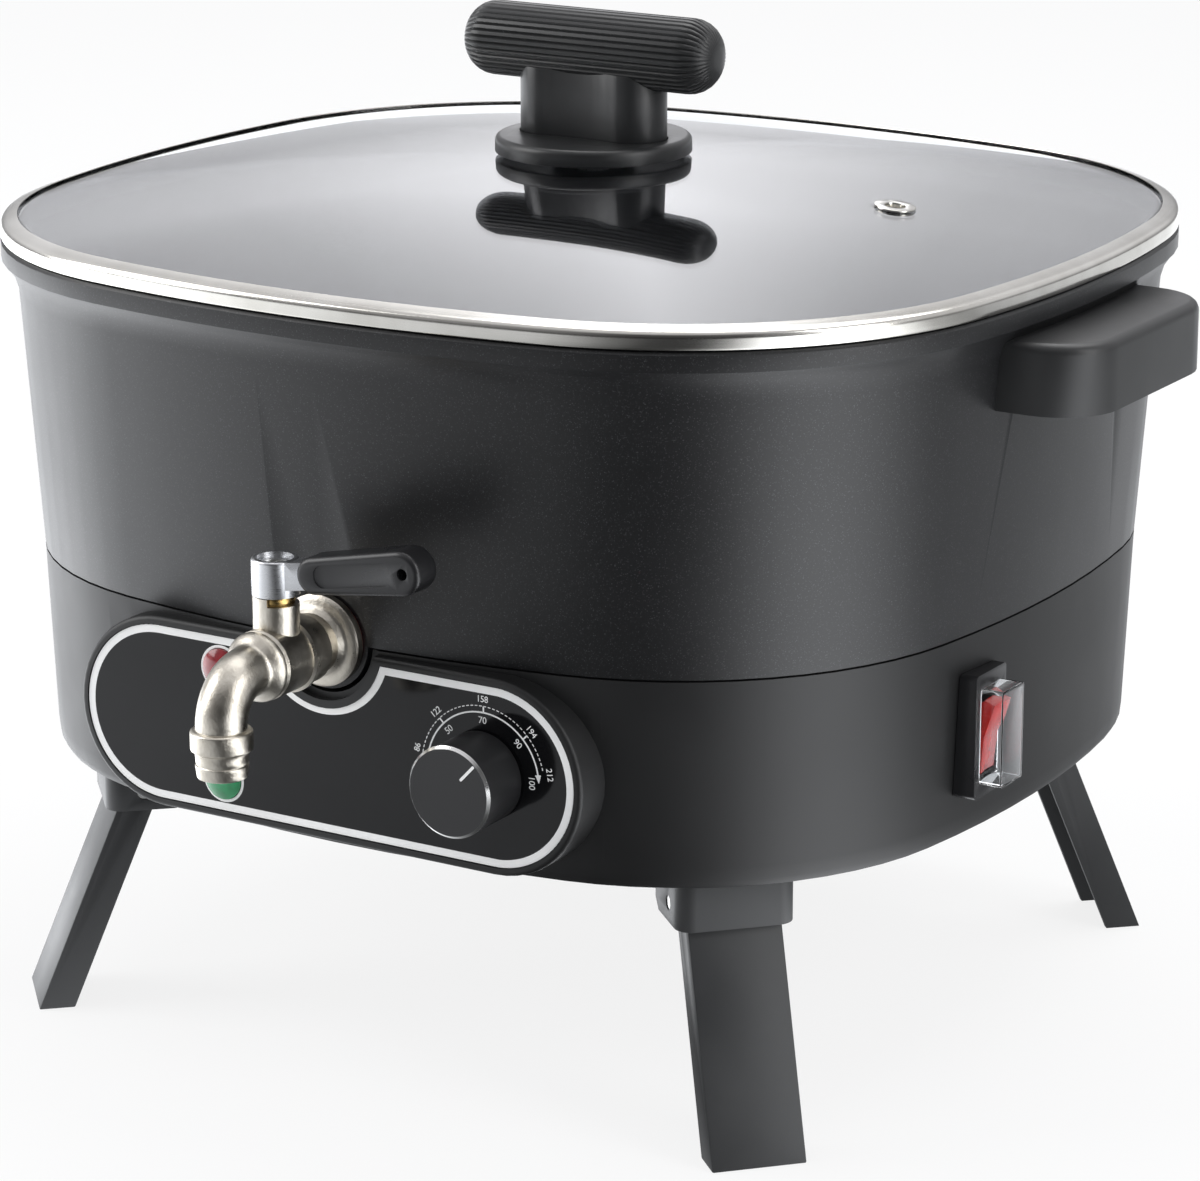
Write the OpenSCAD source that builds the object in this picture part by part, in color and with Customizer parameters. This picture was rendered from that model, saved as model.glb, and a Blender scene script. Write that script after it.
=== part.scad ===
// Electric wax melter: a square pot with bowed sides on a heated base, with a glass
// lid, a ball-valve tap, a thermostat dial, a rocker switch and four folding legs.
// Millimetres. The pot's axis stands axis_y behind the origin, which is the middle of
// the footprint on the ground. The front faces -Y, the switch faces +X, and Z is up.

/* [Outline] */
// Width across the rim
body_w = 324; // [300:2:350]
// Depth across the rim
body_d = 305; // [285:1:330]
// Radius of the outline's corners at the rim
corner_r = 104; // [90:1:110]
// How far the left and right sides bow out past the corner arcs
bow_x = 3.4; // [2.5:0.1:6]
// How far the front and back sides bow out past the corner arcs
bow_y = 5; // [3.5:0.1:7]

/* [Heights] */
// Ground to the underside of the base
base_z = 77; // [74:1:90]
// Height of the base housing
base_h = 60.4; // [60:0.2:66]
// Height of the pot's wall above the base, up to the rim's top face
pot_h = 92.6; // [85:0.2:110]
// Height of the rim's straight band
band_h = 5.4; // [4:0.2:7]
// Drop of the pot's floor below the top of the base
floor_drop = 11.4; // [11:0.1:13]

/* [Walls] */
// How much narrower each side of the pot is at the base than at the rim
pot_draft = 10; // [8.5:0.1:12]
// Overhang of the rim past the top of the pot's wall
band_out = 4.8; // [3.5:0.1:6]
// Wall of the cast pot
pot_wall = 3; // [2.5:0.1:3.4]
// Floor of the cast pot
pot_floor = 3.5; // [3:0.1:5]
// How much narrower each side of the base is at its bottom than at its top
base_draft = 2.2; // [1:0.1:3]
// Wall of the moulded base housing
base_wall = 2.8; // [2.2:0.1:3.2]
// Thickness of the bottom plate
plate_t = 1.5; // [1:0.1:2]
// Visible groove between the pot and the base
seam_gap = 0.6; // [0.4:0.1:1]

/* [Lid] */
// Thickness of the tempered glass
glass_t = 4; // [3.4:0.1:5]
// Rise of the glass dome above its edge
dome_h = 15.6; // [12:0.2:20]
// Radius of the steam vent's bore
vent_r = 3; // [2:0.1:4]
// Distance of the steam vent from the lid's middle
vent_x = 100; // [80:1:112]
// Radius of the knob's foot disc
disc_r = 29; // [26:0.5:32]
// Thickness of the knob's foot disc
disc_t = 5; // [4:0.1:7]
// Length of the oblong stem
stem_l = 47; // [40:0.5:50]
// Width of the oblong stem
stem_w = 20; // [18:0.5:22]
// Height of the stem from the disc to the middle of the grip bar
stem_h = 25.6; // [22:0.2:32]
// Length of the grip bar
grip_l = 84; // [70:1:100]
// Radius of the grip bar
grip_r = 11; // [10.4:0.1:13]
// Grooves around the grip bar
grip_grooves = 36; // [24:2:40]
// Radius of the knob's screw
knob_screw_r = 2.5; // [2:0.1:3]

/* [Side handles] */
// Length of each side handle along the pot
handle_l = 85; // [75:1:100]
// How far each side handle reaches past the rim's widest point
handle_reach = 20; // [16:0.5:24]
// Height of the side handle
handle_h = 20; // [18:0.5:22]
// Corner radius of the side handle seen from above
handle_corner = 18; // [14:0.5:20]
// Gap between the rim's band and the top of the side handle
handle_drop = 3.2; // [2:0.1:5]
// Wall around the finger pocket
handle_wall = 4; // [3:0.1:5]

/* [Legs] */
// Direction of the legs from the middle, measured from the sides
leg_angle = 43.3; // [41:0.1:46]
// Distance of the leg pins inside the base's lower outline
pin_in = 21.7; // [21:0.1:26]
// Drop of the leg pins below the underside of the base
pin_drop = 9.5; // [8.6:0.1:11]
// Lean of the open legs
leg_splay = 22.2; // [16:0.1:24]
// Width of the leg channel
leg_w = 27.2; // [24:0.2:30]
// Depth of the leg channel
leg_t = 10; // [8.6:0.1:10.4]
// Sheet thickness of the leg channel
leg_wall = 2; // [1.5:0.1:2.5]
// Radius of the leg pins
leg_pin_r = 2; // [1.5:0.1:2.4]
// Side clearance between a leg and its bracket
leg_gap = 0.4; // [0.3:0.05:0.6]
// Cheek thickness of the leg bracket
cheek_t = 3; // [2.5:0.1:4]

/* [Control panel] */
// How far the panel's rim stands in front of the base's top edge
panel_out = 1.4; // [1.2:0.1:3]
// Length of the raised panel surround
panel_l = 167.6; // [164:0.2:169]
// Height of the raised panel surround
panel_h = 56.2; // [55:0.2:57]
// Drop of the panel's middle line below the top of the base
panel_drop = 29.3; // [29:0.1:29.6]
// Width of the surround's rim
rim_w = 2.3; // [2:0.1:3.2]
// Depth of the recess that holds the printed plate
recess_t = 1.2; // [0.8:0.1:1.6]
// Thickness of the printed plate
inlay_t = 0.8; // [0.5:0.1:1]
// Distance of the dial from the middle
dial_x = 52.4; // [48:0.2:55]
// Radius of the dial knob
dial_r = 13.1; // [11:0.1:14]
// How far the dial stands in front of the printed plate
dial_h = 17.2; // [14:0.2:20]
// Turn of the dial's pointer from straight up, clockwise
dial_turn = 43; // [0:1:60]
// Radius of the dial's shaft
shaft_r = 3; // [2.5:0.1:3.2]
// Distance of the lamps from the middle
lamp_x = 34.4; // [32:0.2:38]
// Distance between lamps
lamp_pitch = 16.2; // [15.6:0.1:17]
// Radius of a lamp lens
lamp_r = 5.9; // [5:0.1:6.2]

/* [Switch] */
// Distance of the switch in front of the middle
switch_y = 40; // [32:1:46]
// Drop of the switch's middle below the top of the base
switch_drop = 28.4; // [28:0.1:29]
// Width of the switch bezel
switch_w = 18.4; // [17.4:0.2:20]
// Height of the switch bezel
switch_h = 36; // [34:0.5:38]
// How far the switch bezel stands out of the base
switch_out = 5; // [4:0.1:6]
// Width of the rocker
rocker_w = 9; // [8:0.2:9.4]
// Height of the rocker
rocker_h = 22; // [18:0.5:23]
// Tilt of the rocker to each side
rocker_tilt = 10; // [6:1:11]

/* [Tap] */
// Height of the tap's axis above the top of the base
tap_rise = 1; // [0.6:0.1:2]
// Radius of the tap's flange
flange_r = 13.1; // [12:0.1:13.4]
// Thickness of the tap's flange
flange_t = 3; // [2.5:0.1:4]
// Radius of the threaded shank
shank_r = 7.9; // [7.2:0.1:8.2]
// Radius of the bore for the wax
tap_bore = 4.6; // [4:0.1:5]
// Distance from the flange's back to the lever's axis
valve_reach = 21.9; // [21:0.1:25]
// Distance from the lever's axis to the spout's axis
spout_reach = 26.2; // [25:0.2:30]
// Radius of the spout pipe
pipe_r = 7; // [6.4:0.1:7.4]
// Bend radius of the elbow
bend_r = 12; // [11:0.2:12.4]
// Drop of the spout's end below the tap's axis
spout_drop = 26; // [26:0.2:32]
// Radius of the valve ball
ball_r = 7; // [6.4:0.1:7.2]
// Radius of the lever's hub
hub_r = 6.6; // [6.2:0.1:7.4]
// Length of the lever from its axis to the grip's end
lever_l = 50; // [46:1:56]
// Upward crank of the lever
lever_rise = 10; // [4:0.5:12]

/* [Inside] */
// Radius of the heating element's ring
element_ring_r = 74; // [60:1:76]
// Radius of the heating element's tube
element_r = 4.2; // [3.5:0.1:4.6]
// Radius of the bolts that hold the pot to the base
bolt_r = 2.5; // [2:0.1:3]
// Distance of the pot bolts from the middle, along each side
bolt_off = 68; // [62:1:72]
// Radius of the bore for the mains lead in the rear grommet
lead_r = 3.6; // [3:0.1:4]

/* [Hidden] */
$fn = 96;

// clearances
fit = 0.05;      // running clearance of a shaft or pin in its bore
slack = 0.25;    // clearance between fixed pieces that slide together
loose = 0.4;     // clearance of a bolt in its hole
part_gap = 0.3;  // least distance between pieces that move past each other
eps = 0.5;       // how far a cut runs past the face that it opens

// colours
black_plastic = "#222325";
pot_grey = "#2c2e30";
steel = "#c9c7c2";
nickel = "#c8bfae";

// heights
base_top = base_z + base_h;
rim_top = base_top + pot_h;
floor_z = base_top - floor_drop;
floor_under = floor_z - pot_floor;
seat_z = base_top + seam_gap;
tap_z = base_top + tap_rise;
panel_z = base_top - panel_drop;

// the outline's arcs
half_x = body_w / 2;
half_y = body_d / 2;
corner_x = half_x - corner_r - bow_x;
corner_y = half_y - corner_r - bow_y;
side_rx = (pow(corner_r + bow_x, 2) + pow(corner_y, 2) - pow(corner_r, 2)) / (2 * bow_x);
side_ry = (pow(corner_r + bow_y, 2) + pow(corner_x, 2) - pow(corner_r, 2)) / (2 * bow_y);
side_ax = atan2(corner_y, side_rx - corner_r - bow_x);
side_ay = atan2(corner_x, side_ry - corner_r - bow_y);
side_steps = 4;
corner_steps = 12;

// A quarter of the outline, drawn in by inset: half a side, a corner, half the next side.
function quarter(inset) = concat(
    [for (i = [0:side_steps]) let (a = side_ax * i / side_steps)
        [half_x - side_rx + (side_rx - inset) * cos(a), (side_rx - inset) * sin(a)]],
    [for (i = [1:corner_steps]) let (a = side_ax + (90 - side_ay - side_ax) * i / corner_steps)
        [corner_x + (corner_r - inset) * cos(a), corner_y + (corner_r - inset) * sin(a)]],
    [for (i = [1:side_steps]) let (a = 90 - side_ay + side_ay * i / side_steps)
        [(side_ry - inset) * cos(a), half_y - side_ry + (side_ry - inset) * sin(a)]]);

// The whole outline, anticlockwise from +X.
function outline(inset) = let (q = quarter(inset), n = len(q) - 1) concat(
    [for (i = [0:n]) q[i]],
    [for (i = [n - 1:-1:0]) [-q[i].x, q[i].y]],
    [for (i = [1:n]) [-q[i].x, -q[i].y]],
    [for (i = [n - 1:-1:1]) [q[i].x, -q[i].y]]);

// Distance of the outline from the middle along direction a, past the sides' bow.
function reach_x(inset, y) = half_x - side_rx + sqrt(pow(side_rx - inset, 2) - y * y);
function reach_y(inset, x) = half_y - side_ry + sqrt(pow(side_ry - inset, 2) - x * x);

// Points of stacked outlines: each level is [inset, z] or [inset, z, scale].
function stack(levels) = [for (l = levels) for (p = outline(l[0]))
    let (s = len(l) > 2 ? l[2] : 1) [p.x * s, p.y * s, l[1]]];
function bands(n, count, total) = [for (i = [0:count - 1]) for (j = [0:n - 1])
    let (a = i * n, b = ((i + 1) % total) * n, k = (j + 1) % n) [a + j, b + j, b + k, a + k]];

// A solid through stacked outlines, closed by its first and last one.
module loft(levels) {
    n = len(outline(0));
    last = len(levels) - 1;
    polyhedron(points = stack(levels), convexity = 6, faces = concat(
        [[for (j = [0:n - 1]) j]],
        bands(n, last, last + 1),
        [[for (j = [n - 1:-1:0]) last * n + j]]));
}

// A ring whose section is a closed loop of [inset, z].
module loft_ring(section) {
    n = len(outline(0));
    polyhedron(points = stack(section), convexity = 6,
               faces = bands(n, len(section), len(section)));
}

// The tap's reach sets how far the pot's axis stands behind the origin.
tap_sink = 0.4;         // how deep the tap's seat is cut into the pot's wall
gasket_t = 0.6;
tap_face = half_y - pot_draft - tap_sink;
flange_y = tap_face + gasket_t;
valve_y = flange_y + valve_reach;
spout_y = valve_y + spout_reach;
collar_r = pipe_r + 1.5;
axis_y = (spout_y + collar_r - half_y) / 2;
module on_axis() translate([0, axis_y, 0]) children();

// Turns a solid of revolution so that its axis runs from the pot towards the front.
module to_front(x, y, z) translate([x, -y, z]) rotate([90, 0, 0]) children();

// A disc with a rounded edge on its top, as a solid of revolution.
module rounded_disc(r, h, edge) rotate_extrude() {
    square([r - edge, h]);
    square([r, h - edge]);
    translate([r - edge, h - edge]) circle(edge, $fn = min($fn, 24));
}

// A rectangle with round corners, centred.
module rounded_plate(w, h, r) {
    for (x = [-1, 1], y = [-1, 1]) translate([x * (w / 2 - r), y * (h / 2 - r)]) circle(r);
    square([w - 2 * r, h], center = true);
    square([w, h - 2 * r], center = true);
}

// ---- pot -------------------------------------------------------------------------------
cove_h = 9;             // height of the cove under the rim's band
foot_gap = 3;           // room between the base's wall and the pot's foot
foot_in = pot_draft + base_wall + slack + foot_gap;
pad_r = flange_r + 1.3;
pad_depth = 11.5;       // thickness of the pot's wall at the tap's seat

// The visible wall: from its seat on the base up to the cove and the rim's band.
pot_side = [
    [pot_draft, seat_z], [band_out, rim_top - band_h - cove_h],
    [band_out * 0.72, rim_top - band_h - cove_h * 0.5],
    [band_out * 0.25, rim_top - band_h - cove_h * 0.14], [0, rim_top - band_h]];

skirt_in = 6;           // inset of the lid's locating skirt
skirt_gap = 0.6;        // gap between that skirt and the rim
boss_h = 6;             // height of the bolt bosses under the floor
boss_wall = 3;

// The side handles meet the wall at this height, and their screws end in it.
handle_top = rim_top - band_h - handle_drop;
handle_mid = handle_top - handle_h / 2;
handle_screw_r = 1.8;
handle_screw_y = handle_l / 2 - handle_wall - 6;
wall_in = pot_draft + (band_out - pot_draft) * (handle_mid - seat_z)
    / (rim_top - band_h - cove_h - seat_z);
handle_seat_x = reach_x(wall_in, handle_screw_y);
screw_bite = 2;         // how deep the handle screws go into the wall

module pot() color(pot_grey) on_axis() difference() {
    union() {
        loft(concat([
            [foot_in + 6, floor_under], [foot_in + 2, floor_under + 1.6], [foot_in, floor_under + 5],
            [foot_in, seat_z]], pot_side, [
            [0, rim_top - 0.8], [0.8, rim_top], [skirt_in - skirt_gap, rim_top],
            [skirt_in - skirt_gap, rim_top - band_h], [band_out + pot_wall, rim_top - band_h - cove_h],
            [pot_draft + pot_wall - 0.6, seat_z + 6], [foot_in + pot_wall, seat_z - 1],
            [foot_in + pot_wall + 1.5, floor_z + 4], [foot_in + pot_wall + 5.5, floor_z + 0.6],
            [foot_in + pot_wall + 9, floor_z]]));
        to_front(0, tap_face - pad_depth, tap_z) cylinder(r = pad_r, h = pad_depth);
        for (x = [-1, 1], y = [-1, 1])
            translate([x * bolt_off, y * bolt_off, floor_under - boss_h])
                cylinder(r = bolt_r + boss_wall, h = boss_h + 1);
    }
    to_front(0, tap_face - pad_depth - eps, tap_z)
        cylinder(r = shank_r + slack, h = pad_depth + 2 * eps);
    to_front(0, tap_face, tap_z) cylinder(r = pad_r, h = pad_depth);
    for (x = [-1, 1], y = [-1, 1])
        translate([x * bolt_off, y * bolt_off, floor_under - boss_h - eps])
            cylinder(r = bolt_r, h = boss_h + eps + 1);
    for (side = [-1, 1], y = [-1, 1])
        translate([side * (handle_seat_x - screw_bite - 0.2), y * handle_screw_y, handle_mid])
            rotate([0, side * 90, 0]) cylinder(r = handle_screw_r, h = screw_bite + 5);
}

// ---- base housing ----------------------------------------------------------------------
lip_w = 4.6;            // width of the inward lip that carries the bottom plate
lip_t = 2.9;            // thickness of that lip
base_in = pot_draft + base_draft;
panel_y = half_y - pot_draft + panel_out;
panel_r = panel_h / 2;
pad_hole_r = pad_r + 1.2;   // the hole in the base's wall around the tap's pad
notch_r = pad_r + 3;    // radius of the surround's notch around the tap
notch_t = 2.4;          // depth of that notch
edge_r = 1.4;           // rounding of the surround's front edge

// The panel's outline, drawn in by inset: a stadium with a round notch for the tap.
module panel_outline(inset) difference() {
    union() {
        for (x = [-1, 1]) translate([x * (panel_l / 2 - panel_r), 0]) circle(panel_r - inset);
        square([panel_l - 2 * panel_r, panel_h - 2 * inset], center = true);
    }
    translate([0, tap_z - panel_z]) circle(notch_r + inset);
}

module panel_block() hull() for (x = [-1, 1])
    to_front(x * (panel_l / 2 - panel_r), panel_y - panel_deep, panel_z)
        rounded_disc(panel_r, panel_deep, edge_r, $fn = 48);
panel_deep = 24;
front_wall = 3;

module base_housing() color(black_plastic) on_axis() difference() {
    union() {
        loft_ring([
            [base_in + lip_w * 0.8, base_z], [base_in + 1.5, base_z + 0.9], [base_in + 0.3, base_z + 3],
            [base_in - 0.1, base_z + 7], [pot_draft, base_top], [pot_draft + 1.6, base_top],
            [pot_draft + 1.6, seat_z], [pot_draft + base_wall, seat_z],
            [base_in + base_wall, base_z + lip_t + 2], [base_in + base_wall, base_z + lip_t],
            [base_in + base_wall + lip_w, base_z + lip_t], [base_in + base_wall + lip_w, base_z]]);
        difference() {
            panel_block();
            base_cavity();
        }
    }
    to_front(0, panel_y - panel_deep - eps, panel_z)
        linear_extrude(panel_deep + eps - front_wall) panel_outline(rim_w);
    to_front(0, panel_y - recess_t, panel_z) linear_extrude(recess_t + eps) panel_outline(rim_w);
    to_front(0, panel_y - panel_deep - eps, tap_z)
        cylinder(r = pad_hole_r, h = panel_deep + 2 * eps);
    to_front(0, panel_y - notch_t, tap_z) cylinder(r = notch_r, h = notch_t + eps);
    for (i = [-1, 0, 1]) to_front(-lamp_x, panel_y - front_wall - eps, panel_z + i * lamp_pitch)
        cylinder(r = lamp_r + slack, h = front_wall + 2 * eps);
    to_front(dial_x, panel_y - front_wall - eps, panel_z)
        cylinder(r = bush_r + slack, h = front_wall + 2 * eps);
    translate([switch_x - 12, -switch_y, switch_z]) rotate([0, 90, 0])
        linear_extrude(24) rounded_plate(switch_h - 5, switch_w - 4, 1);
    translate([0, reach_y(base_in, 0) - 10, lead_z]) rotate([-90, 0, 0]) linear_extrude(20)
        rounded_plate(2 * (grommet_r + slack), 2 * (grommet_r + slack), neck_round);
}

// The hollow of the base, just inside its wall, that the back of the panel block leaves free.
module base_cavity() loft([
    [base_in + base_wall + 0.3, base_z - 1], [base_in + base_wall + 0.3, base_z + lip_t + 2],
    [pot_draft + base_wall + 0.3, seat_z], [pot_draft + base_wall + 0.3, seat_z + 1]]);

// ---- bottom plate ----------------------------------------------------------------------
plate_z = base_z + lip_t;
vent_l = 44;
vent_w = 3.4;
vent_pitch = 9;
module bottom_plate() color("#3a3b3d") on_axis() difference() {
    translate([0, 0, plate_z]) linear_extrude(plate_t)
        polygon(outline(base_in + base_wall + loose));
    for (side = [-1, 1], i = [-3:3]) translate([side * 34, i * vent_pitch, plate_z - eps])
        linear_extrude(plate_t + 2 * eps) rounded_plate(vent_l, vent_w, vent_w / 2 - 0.01);
    for (x = [-1, 1], y = [-1, 1]) translate([x * bolt_off, y * bolt_off, plate_z - eps])
        cylinder(r = bolt_r + loose, h = plate_t + 2 * eps);
    for (a = leg_dirs, t = [-1, 1]) rotate([0, 0, a])
        translate([bracket_screw_x, t * bracket_screw_y, plate_z - eps])
            cylinder(r = screw_r, h = plate_t + 2 * eps);
}

// ---- lid -------------------------------------------------------------------------------
lid_z = rim_top + part_gap;
rim_t = 0.7;
rim_h = glass_t + 2 * rim_t;
glass_in = 1.2;                 // inset of the glass's edge inside the steel rim
glass_z = lid_z + rim_t;
dome_steps = 6;

// Height of the dome over its edge at scale s of the outline.
function dome(s) = dome_h * (1 - s * s);
crown = glass_z + glass_t + dome(1 / dome_steps);   // the flat in the middle of the dome
apex = glass_z + glass_t + dome_h;

module lid_glass() color([0.62, 0.64, 0.68, 0.5]) on_axis() difference() {
    loft(concat(
        [for (i = [1:dome_steps]) let (s = i / dome_steps) [glass_in, glass_z + dome(s), s]],
        [for (i = [dome_steps:-1:1]) let (s = i / dome_steps)
            [glass_in, glass_z + glass_t + dome(s), s]]));
    translate([0, 0, glass_z]) cylinder(r = knob_screw_r + 1, h = dome_h + 2 * glass_t);
    vent_place() translate([0, 0, -2 * glass_t]) cylinder(r = vent_body_r, h = 4 * glass_t);
}
vent_body_r = vent_r + 1;

lap = 5;                        // how far the steel rim laps onto the glass
module lid_rim() color(steel) on_axis() {
    skirt_h = band_h - 1;
    lap_rise = dome(1 - 1.3 * (lap - glass_in) / half_y);
    loft_ring([
        [0.5, lid_z], [0, lid_z + 0.6], [0, lid_z + rim_h - 0.9], [0.9, lid_z + rim_h],
        [lap, lid_z + rim_h + lap_rise], [lap, lid_z + rim_h - rim_t + lap_rise + 0.05],
        [glass_in - slack, lid_z + rim_h - rim_t + 0.05], [glass_in - slack, glass_z - 0.05],
        [skirt_in + rim_t, glass_z - 0.05], [skirt_in + rim_t, lid_z - skirt_h],
        [skirt_in, lid_z - skirt_h], [skirt_in, lid_z]]);
}

// The vent sits square to the glass, which slopes there.
vent_scale = vent_x / (half_x - glass_in);
vent_top = glass_z + glass_t + dome(vent_scale);
vent_tilt = atan(2 * dome_h * vent_scale / (half_x - glass_in));
module vent_place() translate([vent_x, 0, vent_top]) rotate([0, vent_tilt, 0]) children();
module vent_grommet() color(steel) on_axis() vent_place() rotate_extrude() {
    translate([vent_r, -glass_t - 0.9]) square([0.9, glass_t + 1.7]);
    translate([vent_r, 0.1]) square([3, 0.7]);
    translate([vent_r, -glass_t - 0.9]) square([3, 0.7]);
}

disc_z = apex + 0.8;
disc_hollow = 1.2;      // depth of the foot disc's underside
stem_z = disc_z + disc_t;
bar_z = stem_z + stem_h;
socket_t = 1.5;         // how deep the stem sits in the foot disc
stem_stop = 6;          // drop of the stem's highest edges below the middle of the grip bar
module knob_gasket() color("#151515") on_axis() translate([0, 0, crown]) difference() {
    cylinder(r = 12, h = disc_z + disc_hollow - crown - fit);
    translate([0, 0, -eps]) cylinder(r = knob_screw_r + loose, h = disc_z + disc_hollow - crown + 2 * eps);
}

module knob_disc() color(black_plastic) on_axis() translate([0, 0, disc_z]) difference() {
    union() {
        rounded_disc(disc_r, disc_t, 1.8);
        linear_extrude(disc_t) stem_section(2);
    }
    translate([0, 0, -eps]) cylinder(r = disc_r - 2.5, h = disc_hollow + eps);
    translate([0, 0, -eps]) cylinder(r = knob_screw_r + loose, h = disc_t + 2 * eps);
    translate([0, 0, disc_t - socket_t]) linear_extrude(socket_t + eps) stem_section(slack);
}

// An oblong with round ends whose long sides are drawn in at the middle.
waist = 1.4;
module stem_section(grow) difference() {
    half_w = stem_w / 2 + grow;
    waist_r = (pow((stem_l - stem_w) / 2, 2) + waist * waist) / (2 * waist);
    union() {
        for (x = [-1, 1]) translate([x * (stem_l / 2 - stem_w / 2), 0]) circle(half_w);
        square([stem_l - stem_w, 2 * half_w], center = true);
    }
    for (y = [-1, 1]) translate([0, y * (half_w - waist + waist_r)]) circle(waist_r, $fn = 240);
}

module knob_stem() color(black_plastic) on_axis() difference() {
    translate([0, 0, stem_z - socket_t]) linear_extrude(stem_h + socket_t - stem_stop) stem_section(0);
    translate([-grip_l / 2, 0, bar_z]) rotate([0, 90, 0]) cylinder(r = grip_r + 0.02, h = grip_l);
    translate([0, 0, disc_z]) cylinder(r = knob_screw_r, h = disc_t + stem_h / 2);
}

// The grip bar: a body of revolution with round ends and fine grooves along it.
end_r = 9;
groove_r = 0.45;
module knob_grip() color(black_plastic) on_axis() translate([0, 0, bar_z]) rotate([0, 90, 0])
    difference() {
        translate([0, 0, -grip_l / 2]) rotate_extrude() intersection() {
            square([grip_r, grip_l]);
            union() {
                for (z = [end_r, grip_l - end_r]) translate([grip_r - end_r, z]) circle(end_r);
                square([grip_r - end_r, grip_l]);
                translate([0, end_r]) square([grip_r, grip_l - 2 * end_r]);
            }
        }
        for (i = [0:grip_grooves - 1]) rotate([0, 0, (i + 0.5) * 360 / grip_grooves])
            translate([grip_r + 0.1, 0, -grip_l / 2]) cylinder(r = groove_r, h = grip_l, $fn = 24);
    }

module knob_screw() color(steel) on_axis() {
    head_z = crown - glass_t - 0.1;
    translate([0, 0, head_z - 0.8]) cylinder(r = 9, h = 0.8);
    translate([0, 0, head_z - 3.2]) cylinder(r = 4.6, h = 2.4);
    translate([0, 0, head_z - 1]) cylinder(r = knob_screw_r - 0.02, h = stem_z + 8 - head_z);
}

// ---- side handles ----------------------------------------------------------------------
handle_x = half_x + handle_reach;
wall_x = half_x - pot_draft;
root_x = wall_x - 12;           // where the handle's blank starts, inside the pot's wall
handle_edge = 3;
flange_x = half_x - band_out + handle_wall;

module side_handle() difference() {
    hull() {
        for (y = [-1, 1]) translate([handle_x - handle_corner, y * (handle_l / 2 - handle_corner),
                                     handle_top - handle_h])
            rounded_disc(handle_corner, handle_h, handle_edge, $fn = 32);
        translate([root_x, -handle_l / 2, handle_top - handle_h])
            cube([10, handle_l, handle_h - 0.5]);
    }
    loft(pot_side);
    translate([0, 0, handle_top - handle_h - eps])
        linear_extrude(handle_h - handle_wall + eps) intersection() {
            translate([flange_x, handle_wall - handle_l / 2])
                square([handle_x - handle_wall - flange_x, handle_l - 2 * handle_wall]);
            handle_outline(handle_wall);
        }
    for (y = [-1, 1]) translate([wall_x, y * handle_screw_y, handle_mid]) rotate([0, 90, 0])
        cylinder(r = handle_screw_r + loose, h = flange_x - wall_x + eps);
}

// The handle's plan outline, drawn in by inset.
module handle_outline(inset) {
    for (y = [-1, 1]) translate([handle_x - handle_corner, y * (handle_l / 2 - handle_corner)])
        circle(handle_corner - inset);
    translate([root_x, inset - handle_l / 2])
        square([handle_x - handle_corner - root_x, handle_l - 2 * inset]);
    translate([root_x, handle_corner - handle_l / 2])
        square([handle_x - inset - root_x, handle_l - 2 * handle_corner]);
}

module side_handle_right() color(black_plastic) on_axis() side_handle();
module side_handle_left() color(black_plastic) on_axis() mirror([1, 0, 0]) side_handle();

module handle_screws() color(steel) on_axis() for (side = [-1, 1], y = [-1, 1])
    translate([side * flange_x, y * handle_screw_y, handle_mid]) rotate([0, side * 90, 0]) {
        cylinder(r = handle_screw_r + 1.4, h = 2);
        translate([0, 0, handle_seat_x - screw_bite - flange_x])
            cylinder(r = handle_screw_r - 0.02, h = flange_x - handle_seat_x + screw_bite + 1);
    }

// ---- control panel ---------------------------------------------------------------------
plate_y = panel_y - recess_t;
face_y = plate_y + inlay_t;
bush_r = shaft_r + 1.6;

module panel_inlay() color("#101113") on_axis() to_front(0, plate_y, panel_z) difference() {
    linear_extrude(inlay_t) panel_outline(rim_w + slack);
    for (i = [-1, 0, 1]) translate([-lamp_x, i * lamp_pitch, -eps])
        cylinder(r = lamp_r + slack, h = inlay_t + 2 * eps);
    translate([dial_x, 0, -eps]) cylinder(r = bush_r + slack, h = inlay_t + 2 * eps);
}

// A lamp lens: a shallow dome on a straight barrel.
lens_dome = 1.4;
module lens(place) to_front(-lamp_x, panel_y - front_wall, panel_z + place * lamp_pitch)
    rotate_extrude() {
        barrel_h = front_wall + 0.3;
        square([lamp_r, barrel_h]);
        dome_r = (lamp_r * lamp_r + lens_dome * lens_dome) / (2 * lens_dome);
        translate([0, barrel_h]) intersection() {
            translate([0, lens_dome - dome_r]) circle(dome_r, $fn = 180);
            square([lamp_r, lens_dome]);
        }
    }
module lamp_red() color("#8e1f25") on_axis() lens(1);
module lamp_amber() color("#b06a1c") on_axis() lens(0);
module lamp_green() color("#0d7a45") on_axis() lens(-1);

// The lamp holders are shallow, so that the upper one clears the pot; their terminals point down.
body_y = panel_y - front_wall;  // back face of the panel's front wall
body_l = body_y - (half_y - foot_in) - part_gap;
module lamp_bodies() color("#d8d4c8") on_axis() for (i = [-1, 0, 1])
    to_front(-lamp_x, body_y - body_l, panel_z + i * lamp_pitch) {
        cylinder(r = lamp_r - 0.8, h = body_l);
        translate([0, 0, body_l - 1.4]) cylinder(r = lamp_r + 1.4, h = 1.4);
        for (x = [-1, 1]) translate([x * 2.4 - 0.4, -lamp_r - 3, 0.6]) cube([0.8, 5, 1.2]);
    }

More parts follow.
